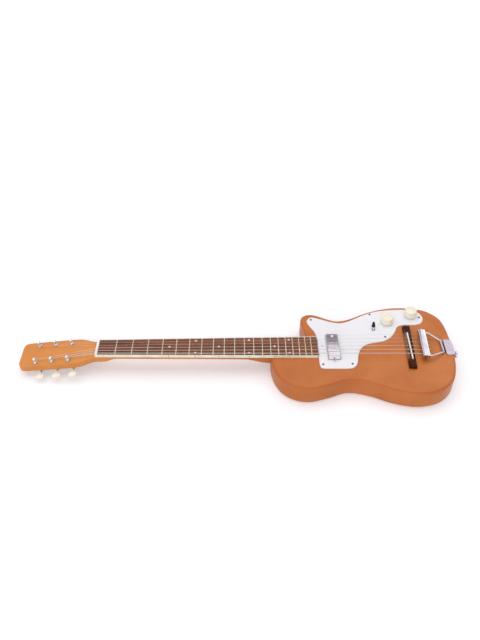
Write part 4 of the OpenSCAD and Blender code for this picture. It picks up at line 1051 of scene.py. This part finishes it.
def make_string(i):
    """String: a round tube from its waisted brass ball end, over saddle and nut, to its winding."""
    d, r, h = STRING_D[i - 1], BALL_R, BALL_HALF
    at_nut = np.array([0, nut_y(i), BOARD_Z + FRET_R + NUT_LIFT + d / 2])
    slant = saddle_y(i) * math.tan(SADDLE_TURN)
    at_saddle = np.array([SADDLE_X - slant, saddle_y(i), SADDLE_Z + d / 2 + 0.03])
    start = at_bar((BAR_X1 + 0.5, saddle_y(i), BAR_STRING_Z))
    run = at_saddle + np.linspace(0, 1, 40)[1:-1, None] * (at_nut - at_saddle)
    path = join([start, at_saddle], run, [at_nut], winding(i, at_nut))
    along = join([0], np.cumsum(np.linalg.norm(np.diff(path, axis=0), axis=1)))
    half_ball = np.array([(0.7, -h), (r - 0.2, -h), (r, 0.2 - h), (r, -0.8), (r - 0.45, -0.4)])
    profile = join(half_ball, half_ball[::-1] * (1, -1))
    ball = at_bar(along_y(revolve(profile, 28)) + (BAR_X1 + r + GAP, saddle_y(i), BAR_STRING_Z))
    shapes = [skin(tube(path, d / 2, 10), along=along), skin(ball, ring=True, finish=1)]
    metal, slot = (wrapped_wire, "wound_wire") if side_of(i) < 0 else (plain_wire, "plain_wire")
    piece(f"string_wire_{i}", shapes, [metal, brass], f"string_{i}")


# Tuners


def make_worm(i):
    """Worm on its shaft: r(a, z) = root + f(a - 2 pi z / pitch) (crest - root), f the thread's profile."""
    columns, slack, end, bevel = 56, 0.01, 6.4, 0.3
    a = 2 * math.pi * np.arange(columns) / columns
    z = np.linspace(-WORM_LEN / 2, WORM_LEN / 2, 73)[:, None]
    start = math.pi - math.pi * WORM_LEN / WORM_PITCH
    phase = np.degrees(a - start - 2 * math.pi * (z + WORM_LEN / 2) / WORM_PITCH) % 360
    f = np.interp(phase, [0, 28, 65, 102, 258, 295, 332, 360], [1, 1, 0.54, 0, 0, 0.54, 1, 1])
    thread = WORM_ROOT + f * (WORM_CREST - WORM_ROOT) - slack
    shaft = np.full((3, columns), SHAFT_R)
    r = join(shaft - [[bevel], [0], [0]], thread, shaft[:2])
    z = join([[-end], [bevel - end], [-WORM_LEN / 2]], z, [[WORM_LEN / 2], [PADDLE_Y]])
    rows = along_y(grid(r * np.cos(a), r * np.sin(a), z)) + (WORM_X, 0, WORM_W)
    shape = skin(at_tuner(i, rows))
    piece(f"worm_{i}", [shape], [nickel], f"tuner_worm_{i}", f"tuner_key_{i}")


def make_button(i):
    """Button: an oval paddle (a cos^p, b sin^p), whose lens z = sqrt(R^2 - r^2) - drop rounds off at the
    rim, and a collar on the shaft."""
    long_r, short_r, power, lens_r, lens_drop, full = 9, 6.4, 0.85, 23.5, 20, 0.8
    a = 2 * math.pi * np.arange(72) / 72
    oval = signed_power(grid(np.cos(a), np.sin(a)), power) * (long_r, short_r)
    out = (1 - full) * np.sin(angles(10, 80, 8))
    flat = join(np.linspace(0.06, full, 10), full + out)[:, None, None] * oval
    rim = join(np.ones(10), np.sqrt(1 - (out / (1 - full)) ** 2))[:, None]
    lens = (np.sqrt(lens_r**2 - (flat**2).sum(-1)) - lens_drop) * rim
    upper = np.concatenate([flat, lens[..., None]], -1)
    paddle = join(upper * (1, 1, -1), upper[::-1]) + (0, PADDLE_Y, 0)
    y, bore = BUTTON_Y, 1.6
    collar = along_y(revolve([(bore, y - 2), (2.2, y - 2), (2.4, y - 1.8), (3, y + 3), (bore, y + 3)], 32))
    shapes = [skin(at_tuner(i, rows + (WORM_X, 0, WORM_W))) for rows in (paddle, collar)]
    piece(f"button_{i}", shapes, [cream_plastic], f"tuner_button_{i}", f"tuner_key_{i}")


make_body()
make_neck()
make_frets()
make_pickguard()
make_guard_screws()
make_pickup_cover()
make_knob("volume_barrel", VOLUME_AT, "volume", "volume_knob")
make_knob("tone_barrel", TONE_AT, "tone", "tone_knob")
make_lever()
make_wiring()
make_bridge()
make_tailpiece_bar()
make_trapeze()
for number in STRINGS:
    make_string(number)
    make_worm(number)
    make_button(number)

dress(board_wood, "fretboard")
dress(celluloid, "fretboard_binding")
dress(pearl, "position_dots")
dress(black_plastic, "side_dots")
dress(bone, "nut", "bridge_saddle")
dress(bobbin, "pickup_coil")
dress(magnet_steel, "pickup_magnet")
dress(rod_steel, "neck_rod")
dress(chrome, "end_pin")
dress(nickel, "tuner_plate_treble", "tuner_plate_bass", "tuner_plate_screws")
dress(nickel, "post_bushings", "tailpiece_screws")
dress(satin_nickel, "control_nuts", "pickup_screws")
dress(bright_nickel, "jack_nut", *[f"tuner_post_{i}" for i in STRINGS])
dress(can_steel, "potentiometers", "tone_switch", "output_jack")
dress(capacitor_wax, "tone_capacitor")


# Floor, light and camera


def make_floor():
    """Plain pale floor, just below the guitar's back. Far away it turns up on a quarter circle into a wall
    all round, and its own glow takes over from the lamps, so that no horizon shows."""
    reach, cove, wall_top, level = 22000, 8000, 18000, -0.4
    turn = arc((reach, level + cove), cove, -90, 0, 16)
    profile = join([(10, level)], turn, [(reach + cove, wall_top)])
    sweep = skin(revolve(profile, 96)[::-1] + (MID_X, 0, 0))
    open_top = {**sweep, "caps": sweep["caps"][1:]}
    mat, add, shader, place = surface("pale_floor", Roughness=0.9, Specular_IOR_Level=0.1)
    seen = add("LightPath", out="Is Camera Ray")
    for ray in ("Is Glossy Ray", "Is Transmission Ray"):
        seen = add("Math", {0: seen, 1: add("LightPath", out=ray)}, operation="MAXIMUM")
    away = add("VectorMath", {0: place}, out="Value", operation="LENGTH")
    lift = dict(From_Min=2.5, From_Max=12.0, To_Min=0.3, To_Max=0.85)
    far = add("MapRange", Value=away, **lift, interpolation_type="SMOOTHSTEP")
    glow = add("Math", {0: seen, 1: far}, operation="MULTIPLY")
    feed(shader, Base_Color="e7e6e8", Emission_Color="fbf9fc", Emission_Strength=glow)
    raw_object("floor", [open_top], [mat])


def make_lamp(name, at, aim, size, power):
    """Soft rectangular lamp that faces a point."""
    data = bpy.data.lights.new(name, "AREA")
    data.shape = "RECTANGLE"
    data.size, data.size_y = size
    data.energy = power
    lamp = bpy.data.objects.new(name, data)
    lamp.location = at
    lamp.rotation_euler = (Vector(aim) - Vector(at)).to_track_quat("-Z", "Y").to_euler()
    bpy.context.scene.collection.objects.link(lamp)


def make_camera():
    """Camera at the photograph's place, turned by its pitch, yaw and roll. The focal length is in pixels of
    a picture 640 high, which is the sensor's long side."""
    at = (0.0047, -0.898, 0.9781)
    pitch, yaw, roll = math.radians(43.678), math.radians(-0.173), math.radians(-0.435)
    focal, long_side, sensor = 650.69, 640, 36
    turns = ((-yaw, "Z"), (math.pi / 2 - pitch, "X"), (roll, "Z"))
    z_turn, x_turn, own_turn = (Matrix.Rotation(angle, 4, axis) for angle, axis in turns)
    data = bpy.data.cameras.new("photo_view")
    data.sensor_width = sensor
    data.lens = focal / long_side * sensor
    camera = bpy.data.objects.new("photo_view", data)
    camera.matrix_world = Matrix.Translation(at) @ z_turn @ x_turn @ own_turn
    bpy.context.scene.collection.objects.link(camera)
    bpy.context.scene.camera = camera


def make_world():
    """Soft, even surroundings."""
    world = bpy.data.worlds.new("studio")
    world.use_nodes = True
    feed(world.node_tree.nodes["Background"], Color="f6f6f8", Strength=0.46)
    bpy.context.scene.world = world


make_floor()
make_lamp("key", at=(-1.51, 1.672, 6.098), aim=(-1.51, -0.928, 0.25), size=(12.8, 6.4), power=312)
make_lamp("side", at=(3.854, 4.608, 3.778), aim=(0.366, 0, 0.058), size=(2.0, 2.0), power=13)
make_lamp("fill", at=(-2.0, -6.8, 3.8), aim=(-0.1, 0, 0), size=(16.0, 7.2), power=430)
make_camera()
make_world()
bpy.context.scene.view_settings.view_transform = "Standard"
